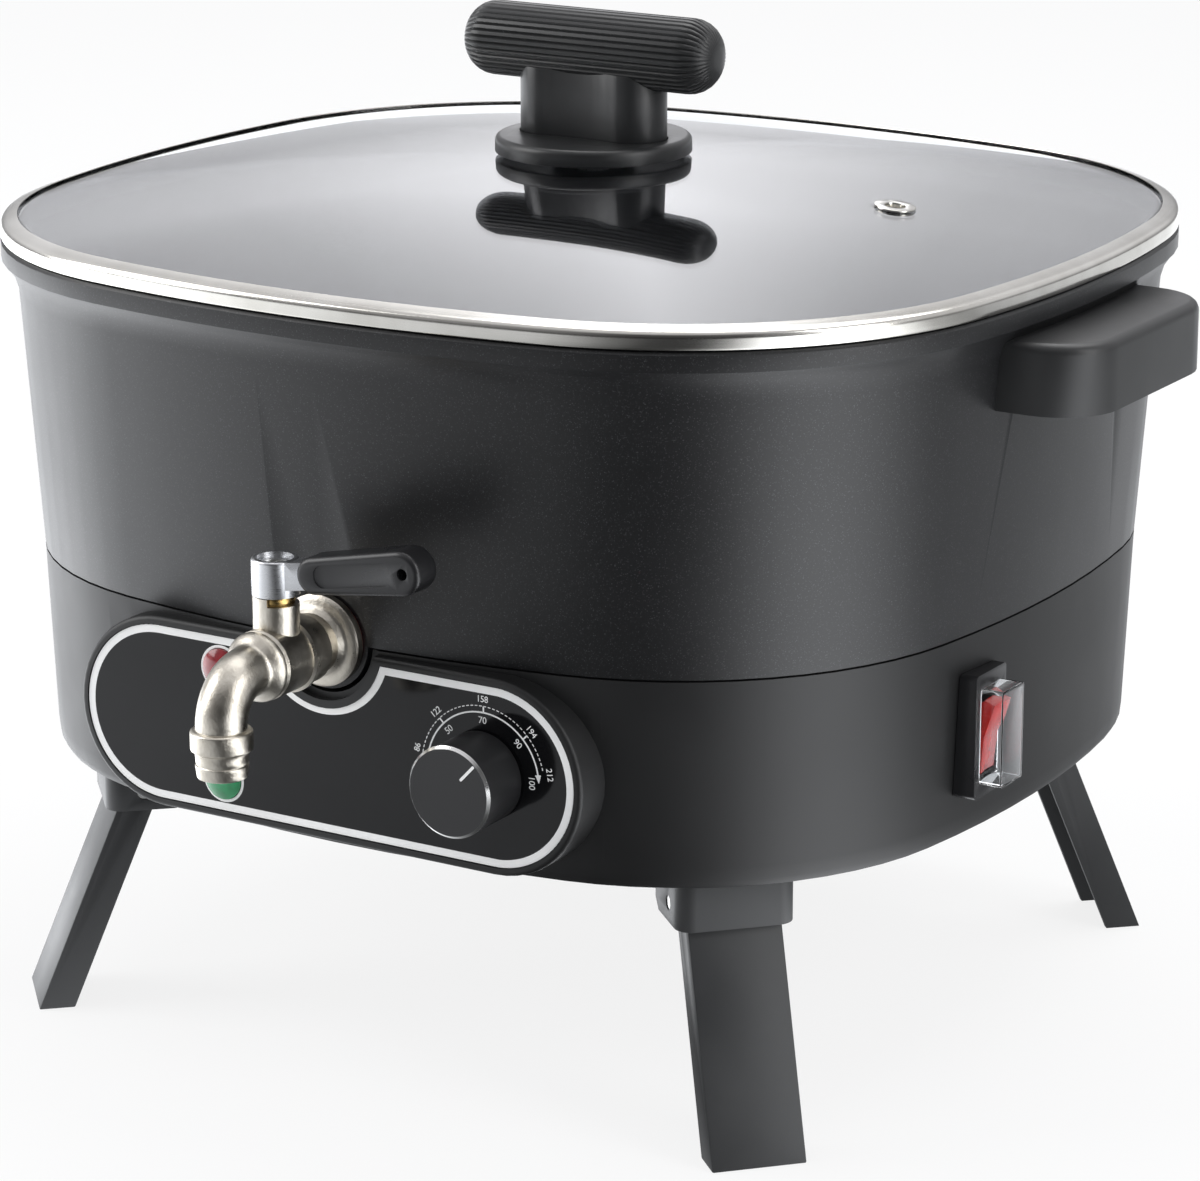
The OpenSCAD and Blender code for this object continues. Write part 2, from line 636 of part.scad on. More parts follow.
dial_gap = 0.8;
cap_t = 1.6;
chamfer = 0.7;
knob_l = dial_h - dial_gap - cap_t;
nut_t = 2.2;            // thickness of the nut under the dial
bush_out = nut_t + 0.8; // how far the threaded bush stands in front of the plate
dial_recess = 6;        // depth of the hollow in the dial's back that clears the nut
module dial_knob() color(black_plastic) on_axis() to_front(dial_x, face_y + dial_gap, panel_z)
    difference() {
        cylinder(r = dial_r - 0.3, h = knob_l);
        translate([0, 0, -eps]) cylinder(r = dial_r - 2.6, h = dial_recess + eps);
        translate([0, 0, -eps]) shaft_section(slack / 2, knob_l - 1 + eps);
    }

module dial_cap() color("#1b1c1e") on_axis()
    to_front(dial_x, face_y + dial_gap + knob_l, panel_z) difference() {
        rotate_extrude() polygon([[0, 0], [dial_r, 0], [dial_r, cap_t - chamfer],
                                  [dial_r - chamfer, cap_t], [0, cap_t]]);
        rotate([0, 0, -dial_turn]) translate([-0.5, dial_r * 0.42, cap_t - 0.4])
            cube([1, dial_r * 0.46, 1]);
    }

// A round shaft with one flat.
module shaft_section(grow, h) difference() {
    cylinder(r = shaft_r + grow, h = h);
    translate([-shaft_r - 1, shaft_r * 0.55 + grow, -eps])
        cube([2 * shaft_r + 2, shaft_r, h + 2 * eps]);
}
shaft_in = 6;                   // how far the shaft reaches into it
module dial_shaft() color(steel) on_axis() to_front(dial_x, body_y - shaft_in, panel_z) {
    cylinder(r = shaft_r, h = shaft_in + face_y - body_y + bush_out + 0.6);
    shaft_section(0, shaft_in + face_y + dial_gap - body_y + knob_l - 1.4);
}

thermo_w = 34;
thermo_d = 20;
module thermostat_body() color("#b9b4a6") on_axis() difference() {
    union() {
        to_front(dial_x, body_y - thermo_d, panel_z)
            linear_extrude(thermo_d) rounded_plate(thermo_w, thermo_w - 8, 3);
        to_front(dial_x, body_y, panel_z) cylinder(r = bush_r, h = face_y + bush_out - body_y);
        for (x = [-1, 1]) translate([dial_x + x * 9 - 3, thermo_d - body_y - 0.5, panel_z - 8])
            cube([6, 8, 0.9]);
    }
    to_front(dial_x, body_y - shaft_in - 0.6, panel_z) cylinder(r = shaft_r + fit, h = 30);
}

module thermostat_nut() color(steel) on_axis() to_front(dial_x, face_y, panel_z) difference() {
    cylinder(r = bush_r + 3.4, h = nut_t, $fn = 6);
    translate([0, 0, -eps]) cylinder(r = bush_r + 0.02, h = nut_t + 2 * eps);
}

// ---- heating and control inside the base -----------------------------------------------
element_z = floor_under - element_r;
element_span = 320;
tail_l = 12;
module heating_element() color("#8d8b86") on_axis() translate([0, 0, element_z]) {
    rotate([0, 0, 90 + (360 - element_span) / 2]) rotate_extrude(angle = element_span)
        translate([element_ring_r, 0]) circle(element_r);
    for (side = [-1, 1]) rotate([0, 0, 90 + side * (360 - element_span) / 2])
        translate([element_ring_r, 0, -tail_l]) {
            cylinder(r = element_r, h = tail_l);
            translate([0, 0, tail_l]) sphere(r = element_r);
            translate([0, 0, -8]) cylinder(r = 1.6, h = 9);
        }
}

shield_z = element_z - element_r - 8;
shield_t = 0.8;
shield_w = 2 * bolt_off + 22;
module heat_shield() color("#b8b6b0") on_axis() difference() {
    translate([0, 0, shield_z]) linear_extrude(shield_t) rounded_plate(shield_w, shield_w, 20);
    for (x = [-1, 1], y = [-1, 1]) translate([x * bolt_off, y * bolt_off, shield_z - eps])
        cylinder(r = bolt_r + loose, h = 2);
    for (side = [-1, 1]) rotate([0, 0, 90 + side * (360 - element_span) / 2])
        translate([element_ring_r, 0, shield_z - eps]) cylinder(r = element_r + 1, h = 2);
}

module pot_bolts() color(steel) on_axis() for (x = [-1, 1], y = [-1, 1])
    translate([x * bolt_off, y * bolt_off, 0]) {
        translate([0, 0, plate_z - 2.4]) cylinder(r = bolt_r + 2, h = 2.4);
        translate([0, 0, plate_z - 1]) cylinder(r = bolt_r - 0.02, h = floor_under - plate_z);
        translate([0, 0, shield_z - 1.6]) cylinder(r = bolt_r + 1.8, h = 1.6);
        translate([0, 0, shield_z + shield_t])
            cylinder(r = bolt_r + 1.8, h = floor_under - boss_h - shield_z - shield_t);
    }

bulb_r = 3;
bulb_l = 62;
bulb_y = 48;                    // distance of the bulb in front of the pot's axis
bulb_z = floor_under - bulb_r;
tube_r = 1;
tube_x = 45;
tube_z = (element_z - element_r + shield_z + shield_t) / 2;

// The bulb's tube drops below the heating element before it runs to the thermostat.
module capillary_bulb() color("#c08552") on_axis() {
    translate([-bulb_l / 2, -bulb_y, bulb_z]) rotate([0, 90, 0]) cylinder(r = bulb_r, h = bulb_l);
    translate([0, -bulb_y, bulb_z]) rotate([0, 90, 0]) cylinder(r = tube_r, h = tube_x);
    for (z = [bulb_z, tube_z]) translate([tube_x, -bulb_y, z]) sphere(r = tube_r);
    translate([tube_x, -bulb_y, tube_z]) cylinder(r = tube_r, h = bulb_z - tube_z);
    translate([tube_x, -bulb_y, tube_z]) rotate([90, 0, 0])
        cylinder(r = tube_r, h = body_y - thermo_d - bulb_y);
}

module bulb_clips() color(steel) on_axis() for (x = [-18, 18])
    translate([x, -bulb_y, bulb_z]) rotate([0, 90, 0]) difference() {
        translate([0, 0, -2.5]) union() {
            cylinder(r = bulb_r + 0.8, h = 5);
            translate([-bulb_r, bulb_r - 0.5, 0]) cube([0.8, 9, 5]);
        }
        translate([0, 0, -4]) cylinder(r = bulb_r + 0.02, h = 8);
        translate([-bulb_r - 3, -bulb_r - 2, -4]) cube([3, 2 * bulb_r + 14, 8]);
    }

module thermal_fuse() color("#dcd8cf") on_axis() translate([-20, 30, floor_under - 3.4]) {
    rotate([0, 90, 0]) cylinder(r = 3, h = 16);
    translate([3, -6, 2.2]) cube([10, 12, 1.1]);
}

block_pitch = 12;
block_w = 16;
block_h = 13;
module terminal_block() color("#e6e3da") on_axis()
    translate([block_pitch * 1.8, element_ring_r + block_w, plate_z + plate_t]) difference() {
        cube([3 * block_pitch, block_w, block_h]);
        for (i = [0:2]) translate([(i + 0.5) * block_pitch, block_w / 2, block_h * 0.4])
            cylinder(r = 2.4, h = block_h);
    }

// ---- mains lead inlet ------------------------------------------------------------------
// The grommet's neck and its seat in the wall are square, so that it can't turn.
lead_z = base_z + 20;
grommet_r = lead_r + 1.8;
neck_round = 2;         // rounding of the neck's corners
module cord_grommet() color("#111111") on_axis()
    translate([0, reach_y(base_in, 0), lead_z]) rotate([-90, 0, 0]) difference() {
        union() {
            translate([0, 0, -base_wall - 3]) cylinder(r = grommet_r - 0.6, h = base_wall + 7);
            translate([0, 0, -base_wall - 1]) linear_extrude(base_wall + 3)
                rounded_plate(2 * grommet_r, 2 * grommet_r, neck_round);
            translate([0, 0, 1.4]) cylinder(r = grommet_r + 2.4, h = 2.6);
            translate([0, 0, -base_wall - 2]) cylinder(r = grommet_r + 2.4, h = 1.6);
        }
        translate([0, 0, -base_wall - 4]) cylinder(r = lead_r, h = base_wall + 10);
    }

// ---- switch ----------------------------------------------------------------------------
switch_z = base_top - switch_drop;
wall_lean = atan((base_draft - 0.1) / (base_h - 7));
wall_inset = pot_draft + tan(wall_lean) * switch_drop;
wall_turn = asin(switch_y / (side_rx - wall_inset));
switch_x = reach_x(wall_inset, switch_y);
switch_face = switch_x + switch_out;
barrel_l = 4;           // how far the bezel's barrel reaches in behind the wall
switch_body_l = 20;
pivot_x = switch_face - 3.4;
pivot_r = 1.5;
stub_l = 1.6;           // how far the pivot's stubs stand out of the rocker
rocker_gap = 0.5;       // clearance beside the rocker
module switch_place() translate([0, -switch_y, switch_z]) children();

module switch_bezel() color("#161719") on_axis() switch_place() difference() {
    union() {
        difference() {
            translate([switch_x - barrel_l, 0, 0]) rotate([0, 90, 0])
                linear_extrude(switch_out + barrel_l) rounded_plate(switch_h, switch_w, 1.4);
            base_wall_plane();
        }
        translate([switch_x - barrel_l, 0, 0]) rotate([0, 90, 0])
            linear_extrude(barrel_l + 2) rounded_plate(switch_h - 5.6, switch_w - 4.6, 1);
    }
    translate([switch_x - barrel_l - eps, 0, 0]) rotate([0, 90, 0])
        linear_extrude(barrel_l + switch_out + 2 * eps)
            rounded_plate(rocker_h + 1.6, rocker_w + 2 * rocker_gap, 0.5);
    translate([pivot_x, 0, 0]) rotate([90, 0, 0])
        cylinder(r = pivot_r + fit, h = rocker_w + 2 * stub_l + 0.4, center = true);
}

// All that lies behind the base's outer face where the switch sits.
module base_wall_plane() translate([switch_x, 0, 0]) rotate([0, wall_lean, -wall_turn])
    translate([-switch_h, -switch_h, -switch_h])
        cube([switch_h + 0.05, 2 * switch_h, 2 * switch_h]);

module switch_body() color("#1c1d20") on_axis() switch_place()
    translate([switch_x - barrel_l - switch_body_l, 0, 0]) {
        rotate([0, 90, 0]) linear_extrude(switch_body_l)
            rounded_plate(switch_h - 10, switch_w - 5, 1);
        for (z = [-8, 0, 8]) translate([-7, -2.4, z - 0.4]) cube([8, 4.8, 0.8]);
    }

// The rocker: two faces that meet at a shallow angle over the pivot, its top half out.
module switch_rocker() color("#a8262b") on_axis() switch_place()
    translate([pivot_x, 0, 0]) rotate([0, rocker_tilt, 0]) {
        rotate([90, 0, 0]) translate([0, 0, -rocker_w / 2]) linear_extrude(rocker_w) polygon([
            [-3, -4], [2.2, -rocker_h / 2 + 0.3], [5.4, -rocker_h / 2 + 0.6], [4.2, 0],
            [5.4, rocker_h / 2 - 0.6], [2.2, rocker_h / 2 - 0.3], [-3, 4]]);
        rotate([90, 0, 0]) cylinder(r = pivot_r, h = rocker_w + 2 * stub_l, center = true);
    }

cover_t = 0.7;
cover_out = 7;
cover_h = rocker_h + 6;
cover_w = rocker_w + 4;
module switch_cover() color([0.8, 0.82, 0.85, 0.4]) on_axis() switch_place() difference() {
    translate([switch_face, 0, 0]) rotate([0, 90, 0])
        linear_extrude(cover_out) rounded_plate(cover_h, cover_w, 1);
    translate([switch_face - eps, 0, 0]) rotate([0, 90, 0])
        linear_extrude(cover_out - cover_t + eps)
            rounded_plate(cover_h - 2 * cover_t, cover_w - 2 * cover_t, 0.6);
}

// ---- tap -------------------------------------------------------------------------------
drum_r = pipe_r + 2.8;
drum_back = 12;                // how far the drum reaches behind the lever's axis
rib_back = 4.6;                // how far its rib lies behind that axis
drum_front = 8.4;              // how far it reaches in front of that axis
joint_y = valve_y + drum_front;     // where the spout screws into the body
neck_top = tap_z + 16;
neck_r = 6.4;
gland_r = 5.2;
gland_h = 2.2;
chamber_r = ball_r + 0.45;
chamber_back = valve_y - ball_r - 1.6;
stem_r = 2.5;

module tap_gasket() color("#8f2a20") on_axis() for (y = [tap_face, tap_face - pad_depth - gasket_t])
    to_front(0, y, tap_z) difference() {
        cylinder(r = y == tap_face ? flange_r - 0.4 : nut_r - 1.4, h = gasket_t);
        translate([0, 0, -eps]) cylinder(r = shank_r + 0.02, h = gasket_t + 2 * eps);
    }

nut_r = 11;
locknut_t = 5;
shank_end = 2;          // how far the shank stands out of the locknut
shank_l = pad_depth + 2 * gasket_t + locknut_t + shank_end;
module tap_body() color(nickel) on_axis() difference() {
    drum_s = valve_reach - drum_back;
    rib_s = valve_reach - rib_back;
    end_s = valve_reach + drum_front;
    union() {
        to_front(0, flange_y, tap_z) rotate_extrude() polygon([
            [0, -shank_l], [shank_r - 0.6, -shank_l], [shank_r, -shank_l + 0.6], [shank_r, 0],
            [flange_r, 0], [flange_r, flange_t - 0.8], [flange_r - 0.8, flange_t],
            [pipe_r + 3, flange_t + 0.8], [pipe_r + 1.6, flange_t + 2.4], [pipe_r + 1.6, drum_s - 2.4],
            [drum_r - 0.8, drum_s - 1], [drum_r, drum_s], [drum_r, rib_s - 1.3],
            [drum_r + 0.8, rib_s - 0.8], [drum_r + 0.8, rib_s + 0.6], [drum_r, rib_s + 1.1],
            [drum_r, end_s - 0.8], [drum_r - 0.6, end_s], [0, end_s]]);
        translate([0, -valve_y, tap_z]) cylinder(r = neck_r, h = neck_top - tap_z);
        translate([0, -valve_y, neck_top - 1]) rotate([0, 0, stop_from])
            rotate_extrude(angle = stop_turn) translate([gland_r + 0.1, 0])
                square([neck_r - gland_r - 0.1, gland_h + 1]);
    }
    to_front(0, flange_y - shank_l - 2, tap_z) cylinder(r = tap_bore, h = 60);
    to_front(0, chamber_back, tap_z) cylinder(r = chamber_r, h = 30);
    translate([0, -valve_y, tap_z]) cylinder(r = stem_r + fit, h = 30);
}

// The lug that stops the lever stands on this part of the neck.
stop_from = 190;
stop_turn = 93;

// The elbow and hose end, screwed into the body's front.
module tap_spout() color(nickel) on_axis() difference() {
    bend_y = spout_y - bend_r;
    end_z = tap_z - spout_drop;
    union() {
        to_front(0, joint_y - 1.5, tap_z) rotate_extrude() polygon([
            [0, 0], [chamber_r - 0.02, 0], [chamber_r - 0.02, 1.5], [drum_r - 0.6, 1.5],
            [drum_r, 2.1], [drum_r - 0.2, 3.2], [drum_r - 0.9, 4.4], [pipe_r + 1, 5.4],
            [pipe_r + 0.3, 6.2], [pipe_r, bend_y - joint_y + 1.5], [0, bend_y - joint_y + 1.5]]);
        translate([0, -bend_y, tap_z - bend_r]) rotate([90, 0, -90]) rotate_extrude(angle = 90)
            translate([bend_r, 0]) circle(pipe_r);
        translate([0, -spout_y, end_z]) rotate_extrude() polygon([
            [0, 0], [pipe_r - 0.2, 0], [pipe_r + 0.3, 3.6], [pipe_r - 0.1, 3.8], [pipe_r + 0.1, 4.2],
            [pipe_r + 0.3, 7.2], [collar_r - 0.5, 7.5], [collar_r, 7.9], [collar_r, 12.8],
            [collar_r - 0.5, 13.2], [pipe_r, 13.4], [pipe_r, spout_drop - bend_r],
            [0, spout_drop - bend_r]]);
    }
    to_front(0, joint_y - 3, tap_z) cylinder(r = tap_bore, h = bend_y - joint_y + 3);
    translate([0, -bend_y, tap_z - bend_r]) rotate([90, 0, -90]) rotate_extrude(angle = 90)
        translate([bend_r, 0]) circle(tap_bore);
    translate([0, -spout_y, end_z - eps]) cylinder(r = tap_bore, h = spout_drop - bend_r + eps);
}

// The ball, shown closed: its bore lies across the flow.
module tap_ball() color("#d9d7d2") on_axis() translate([0, -valve_y, tap_z]) difference() {
    sphere(r = ball_r);
    rotate([0, 90, 0]) translate([0, 0, -ball_r - 1]) cylinder(r = tap_bore, h = 2 * ball_r + 2);
    translate([0, 0, ball_r - 1.2]) cylinder(r = stem_r + 0.02, h = 4);
}

seat_t = 3.4;
module tap_seats() color("#efeeea") on_axis() difference() {
    union() for (y = [chamber_back, joint_y - 1.5 - seat_t]) to_front(0, y, tap_z)
        cylinder(r = chamber_r - 0.02, h = seat_t);
    translate([0, -valve_y, tap_z]) sphere(r = ball_r + part_gap);
    to_front(0, chamber_back - eps, tap_z) cylinder(r = tap_bore, h = 30);
}

hub_z = neck_top + gland_h + part_gap;
hub_h = 10.2;
stem_in = 6;            // how far the stem reaches into the hub
hub_dish = 3.4;         // depth of the hollow in the hub's top
module tap_gland() color("#b98a3e") on_axis() translate([0, -valve_y, neck_top]) difference() {
    cylinder(r = gland_r, h = gland_h);
    translate([0, 0, -eps]) cylinder(r = stem_r + fit, h = gland_h + 2 * eps);
}
module tap_stem() color(nickel) on_axis() translate([0, -valve_y, 0]) difference() {
    translate([0, 0, tap_z + ball_r - 1.2])
        cylinder(r = stem_r, h = hub_z + stem_in - tap_z - ball_r + 1.2);
    translate([0, 0, hub_z + stem_in - 2.6]) cylinder(r = 1.5, h = 2.6 + eps);
}

grip_start = hub_r + 4.5;
tang_l = lever_l - 20;
boss_d = 7;             // the arm between the hub and the grip
boss_t = 7.6;
module lever_frame() translate([0, -valve_y, hub_z + hub_h / 2]) rotate([0, -lever_rise, 0]) children();
module tap_lever() color("#d4d6d8") on_axis() difference() {
    union() {
        translate([0, -valve_y, hub_z]) rounded_disc(hub_r, hub_h, 0.8);
        lever_frame() translate([0, -boss_d / 2, -boss_t / 2]) cube([grip_start + 1, boss_d, boss_t]);
        lever_frame() translate([0, -1.5, -2.5]) cube([tang_l, 3, 5]);
    }
    translate([0, -valve_y, hub_z + hub_h - hub_dish]) cylinder(r = hub_r - 1.5, h = hub_h);
    translate([0, -valve_y, hub_z - eps]) cylinder(r = stem_r + 0.02, h = stem_in + eps);
    translate([0, -valve_y, hub_z - eps]) cylinder(r = 1.5, h = hub_h);
}
module tap_screw() color(steel) on_axis() translate([0, -valve_y, hub_z + hub_h - hub_dish]) difference() {
    union() {
        cylinder(r = 3.4, h = 1.9);
        translate([0, 0, -2.8]) cylinder(r = 1.48, h = 3);
    }
    for (a = [0, 90]) rotate([0, 0, a]) translate([-2, -0.4, 1]) cube([4, 0.8, 2]);
}

// The moulded grip: it swells towards its end, which has a hole to hang it by.
module tap_grip() color("#161617") on_axis() lever_frame() difference() {
    hull() {
        translate([grip_start + 4, 0, 0]) rotate([90, 0, 0]) pill(5.2, 9.4);
        translate([lever_l - 6.2, 0, 0]) rotate([90, 0, 0]) pill(6.2, 10);
    }
    translate([0, -1.6, -2.6]) cube([tang_l + 0.2, 3.2, 5.2]);
    translate([0, -boss_d / 2 - 0.1, -boss_t / 2 - 0.1]) cube([grip_start + 1.2, boss_d + 0.2, boss_t + 0.2]);
    for (y = [-1, 1]) hull() for (x = [grip_start + 8, lever_l - 12])
        translate([x, y * 5.1, 0]) rotate([90, 0, 0]) cylinder(r = 3.2, h = 1.6, center = true, $fn = 32);
    translate([lever_l - 5, 8, 0]) rotate([90, 0, 0]) cylinder(r = 1.6, h = 16);
}
// A short round bar of radius r and length w with rounded edges, centred.
module pill(r, w) translate([0, 0, -w / 2]) rotate_extrude($fn = 32) {
    translate([0, 1.6]) square([r, w - 3.2]);
    square([r - 1.6, w]);
    for (y = [1.6, w - 1.6]) translate([r - 1.6, y]) circle(1.6, $fn = 24);
}

module tap_locknut() color(nickel) on_axis()
    to_front(0, tap_face - pad_depth - gasket_t - locknut_t, tap_z) difference() {
        cylinder(r = nut_r, h = locknut_t, $fn = 6);
        translate([0, 0, -eps]) cylinder(r = shank_r + 0.02, h = locknut_t + 2 * eps);
    }

// ---- legs ------------------------------------------------------------------------------
leg_dirs = [-leg_angle, leg_angle - 180, leg_angle, 180 - leg_angle];
pin_z = base_z - pin_drop;
// Distance of the outline from the middle in direction a, where its corner arc is.
function corner_reach(inset, a) = let (u = corner_x * cos(a) + corner_y * sin(a))
    u + sqrt(pow(corner_r - inset, 2) + u * u - corner_x * corner_x - corner_y * corner_y);
pin_reach = corner_reach(base_in, leg_angle) - pin_in;
leg_len = (pin_z + leg_t) / cos(leg_splay) + leg_t;
bracket_bottom = base_z - 15;
bracket_out = pin_reach + leg_t / 2 / cos(leg_splay) + (pin_z - bracket_bottom) * tan(leg_splay) + 3.4;
bracket_in = pin_reach - 12.5;
bracket_w = leg_w + 2 * (leg_gap + cheek_t);
bracket_round = 5;
roof_t = 3.6;
screw_r = 1.8;
bracket_screw_x = pin_reach - 5;
bracket_screw_y = leg_w / 4;

// An open leg: a channel, open towards the middle, with a round knuckle on its pin.
module leg(dir) color(black_plastic) on_axis() rotate([0, 0, dir]) difference() {
    translate([pin_reach, 0, pin_z]) rotate([0, -leg_splay, 0]) difference() {
        rotate([90, 0, 0]) translate([0, 0, -leg_w / 2]) linear_extrude(leg_w) {
            circle(leg_t / 2);
            translate([-leg_t / 2, -leg_len]) square([leg_t, leg_len]);
        }
        translate([-leg_t, leg_wall - leg_w / 2, -leg_len - eps])
            cube([1.5 * leg_t - leg_wall, leg_w - 2 * leg_wall, leg_len - leg_t * 0.8]);
        translate([0, -leg_w, 0]) rotate([-90, 0, 0]) cylinder(r = leg_pin_r + fit, h = 2 * leg_w);
    }
    translate([0, -2 * leg_w, -leg_len]) cube([2 * pin_reach, 4 * leg_w, leg_len]);
}
module leg_front_right() leg(leg_dirs[0]);
module leg_front_left() leg(leg_dirs[1]);
module leg_rear_right() leg(leg_dirs[2]);
module leg_rear_left() leg(leg_dirs[3]);

// A bracket: outer wall, two cheeks and a roof, open towards the middle and below.
module bracket(dir) color(black_plastic) on_axis() rotate([0, 0, dir]) difference() {
    hull() {
        for (y = [-1, 1]) translate([bracket_out - bracket_round, y * (bracket_w / 2 - bracket_round),
                                     bracket_bottom])
            cylinder(r = bracket_round, h = plate_z - bracket_bottom, $fn = 32);
        translate([bracket_in, -bracket_w / 2, bracket_bottom + 3])
            cube([4, bracket_w, plate_z - bracket_bottom - 3]);
        translate([bracket_in + 3, -bracket_w / 2, bracket_bottom])
            cube([4, bracket_w, plate_z - bracket_bottom]);
    }
    translate([bracket_in - eps, -leg_w / 2 - leg_gap, bracket_bottom - eps])
        cube([bracket_out - bracket_in - 2.9 + eps, leg_w + 2 * leg_gap,
              plate_z - roof_t - bracket_bottom + eps]);
    translate([pin_reach, -bracket_w, pin_z]) rotate([-90, 0, 0])
        cylinder(r = leg_pin_r + 0.01, h = 2 * bracket_w);
    for (t = [-1, 1]) translate([bracket_screw_x, t * bracket_screw_y, bracket_bottom])
        cylinder(r = screw_r + 0.2, h = plate_z - bracket_bottom + eps);
}
module bracket_front_right() bracket(leg_dirs[0]);
module bracket_front_left() bracket(leg_dirs[1]);
module bracket_rear_right() bracket(leg_dirs[2]);
module bracket_rear_left() bracket(leg_dirs[3]);

module leg_pins() color(steel) on_axis() for (dir = leg_dirs) rotate([0, 0, dir])
    translate([pin_reach, -bracket_w / 2 + 0.3, pin_z]) rotate([-90, 0, 0])
        cylinder(r = leg_pin_r, h = bracket_w - 0.6);

module bracket_screws() color(steel) on_axis() for (dir = leg_dirs, t = [-1, 1]) rotate([0, 0, dir])
    translate([bracket_screw_x, t * bracket_screw_y, plate_z - roof_t]) {
        translate([0, 0, -1.2]) cylinder(r = screw_r + 1.4, h = 1.2);
        translate([0, 0, -0.6]) cylinder(r = screw_r - 0.02, h = roof_t + plate_t + 3);
    }

lid_glass();
lid_rim();
vent_grommet();
knob_disc();
knob_stem();
knob_grip();
knob_screw();
knob_gasket();
pot();
base_housing();
bottom_plate();
side_handle_right();
side_handle_left();
handle_screws();
panel_inlay();
lamp_red();
lamp_amber();
lamp_green();
lamp_bodies();
dial_knob();
dial_cap();
dial_shaft();
thermostat_body();
thermostat_nut();
capillary_bulb();
bulb_clips();
thermal_fuse();
heating_element();
heat_shield();
terminal_block();
pot_bolts();
cord_grommet();
switch_bezel();
switch_body();
switch_rocker();
switch_cover();
tap_body();
tap_spout();
tap_ball();
tap_seats();
tap_stem();
tap_gland();
tap_lever();
tap_grip();
tap_screw();
tap_gasket();
tap_locknut();
leg_front_right();
leg_front_left();
leg_rear_right();
leg_rear_left();
bracket_front_right();
bracket_front_left();
bracket_rear_right();
bracket_rear_left();
leg_pins();
bracket_screws();
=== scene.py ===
import math
import bmesh
import bpy
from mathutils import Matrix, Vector


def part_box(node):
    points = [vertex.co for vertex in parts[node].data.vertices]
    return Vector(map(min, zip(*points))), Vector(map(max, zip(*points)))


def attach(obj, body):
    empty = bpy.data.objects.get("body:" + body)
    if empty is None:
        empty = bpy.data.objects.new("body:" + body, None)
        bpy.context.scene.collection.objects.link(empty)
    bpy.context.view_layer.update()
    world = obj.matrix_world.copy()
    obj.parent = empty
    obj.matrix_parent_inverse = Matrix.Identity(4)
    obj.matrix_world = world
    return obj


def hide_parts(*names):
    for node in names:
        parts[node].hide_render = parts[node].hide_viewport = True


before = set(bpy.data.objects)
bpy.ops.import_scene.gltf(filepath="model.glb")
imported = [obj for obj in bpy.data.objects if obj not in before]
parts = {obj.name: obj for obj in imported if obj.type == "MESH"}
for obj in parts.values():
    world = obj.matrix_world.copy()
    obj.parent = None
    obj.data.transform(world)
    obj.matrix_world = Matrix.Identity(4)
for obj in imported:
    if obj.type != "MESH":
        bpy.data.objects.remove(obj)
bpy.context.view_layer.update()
print("frame loaded:", len(parts), "nodes")

mm = 0.001
axisY = 23.4          # the pot's axis stands this far behind the origin, in mm
dialX = 52.4          # the dial's axis, to the right of the pot's axis
panelZ = 108.1        # centre line of the panel, its lamps and the dial
hair = 0.01 * mm      # places closer than this count as one
facing = 0.9          # a face looks along an axis when its normal goes this far along it
weld = {"drawn": 0.005, "copied": 0.004, "flatAngle": 0.05}     # mm, mm and degrees


# small tools

def letGo():
    if bpy.context.mode != "OBJECT":
        bpy.ops.object.mode_set(mode="OBJECT")
    bpy.ops.object.select_all(action="DESELECT")


def hold(piece):
    letGo()
    piece.select_set(True)
    bpy.context.view_layer.objects.active = piece


def edit(piece, kind="FACE"):
    hold(piece)
    bpy.ops.object.mode_set(mode="EDIT")
    bpy.ops.mesh.select_mode(type=kind)
    bpy.ops.mesh.select_all(action="DESELECT")


def choose(piece, kind, test):
    # selects what passes the test, which gets the normal of a face, the place of a vertex or an edge
    edit(piece, kind)
    mesh = bmesh.from_edit_mesh(piece.data)
    if kind == "FACE":
        for face in mesh.faces:
            face.select_set(test(face.normal))
    elif kind == "VERT":
        for vert in mesh.verts:
            vert.select_set(test(vert.co))
    else:
        for edge in mesh.edges:
            edge.select_set(test(edge))
    mesh.select_flush_mode()
    bmesh.update_edit_mesh(piece.data)


def tidyNormals(piece):
    edit(piece)
    bpy.ops.mesh.select_all(action="SELECT")
    bpy.ops.mesh.remove_doubles(threshold=weld["drawn"] * mm)
    bpy.ops.mesh.normals_make_consistent(inside=False)
    letGo()


def addModifier(piece, kind, **values):
    hold(piece)
    modifier = piece.modifiers.new(kind.lower(), kind)
    for key, value in values.items():
        setattr(modifier, key, value)
    bpy.ops.object.modifier_apply(modifier=modifier.name)


def softenEdges(piece, width, segments, angle):
    addModifier(piece, "BEVEL", width=width * mm, segments=segments, limit_method="ANGLE",
                angle_limit=math.radians(angle), miter_outer="MITER_ARC")


def smooth(piece, angle):
    hold(piece)
    bpy.ops.object.shade_smooth_by_angle(angle=math.radians(angle))


def settle():
    # the active object's place, turn and size go into its mesh
    bpy.ops.object.transform_apply(location=True, rotation=True, scale=True)


def cylinder(radius, deep, location, sides, rotation=(math.pi / 2, 0, 0)):
    # radius and depth in mm; it lies along Y unless it is turned otherwise
    bpy.ops.mesh.primitive_cylinder_add(vertices=sides, radius=radius * mm, depth=deep * mm,
                                        location=location, rotation=rotation)
    settle()
    return bpy.context.object


def cutAway(piece, tool):
    addModifier(piece, "BOOLEAN", object=tool, operation="DIFFERENCE", solver="EXACT")
    bpy.data.objects.remove(tool)


def place(piece, name, body, material, nodes=()):
    hold(piece)
    settle()
    piece.name = name
    piece.data.name = name
    piece.data.materials.clear()
    piece.data.materials.append(material)
    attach(piece, body)
    if nodes:
        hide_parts(*nodes)
    letGo()


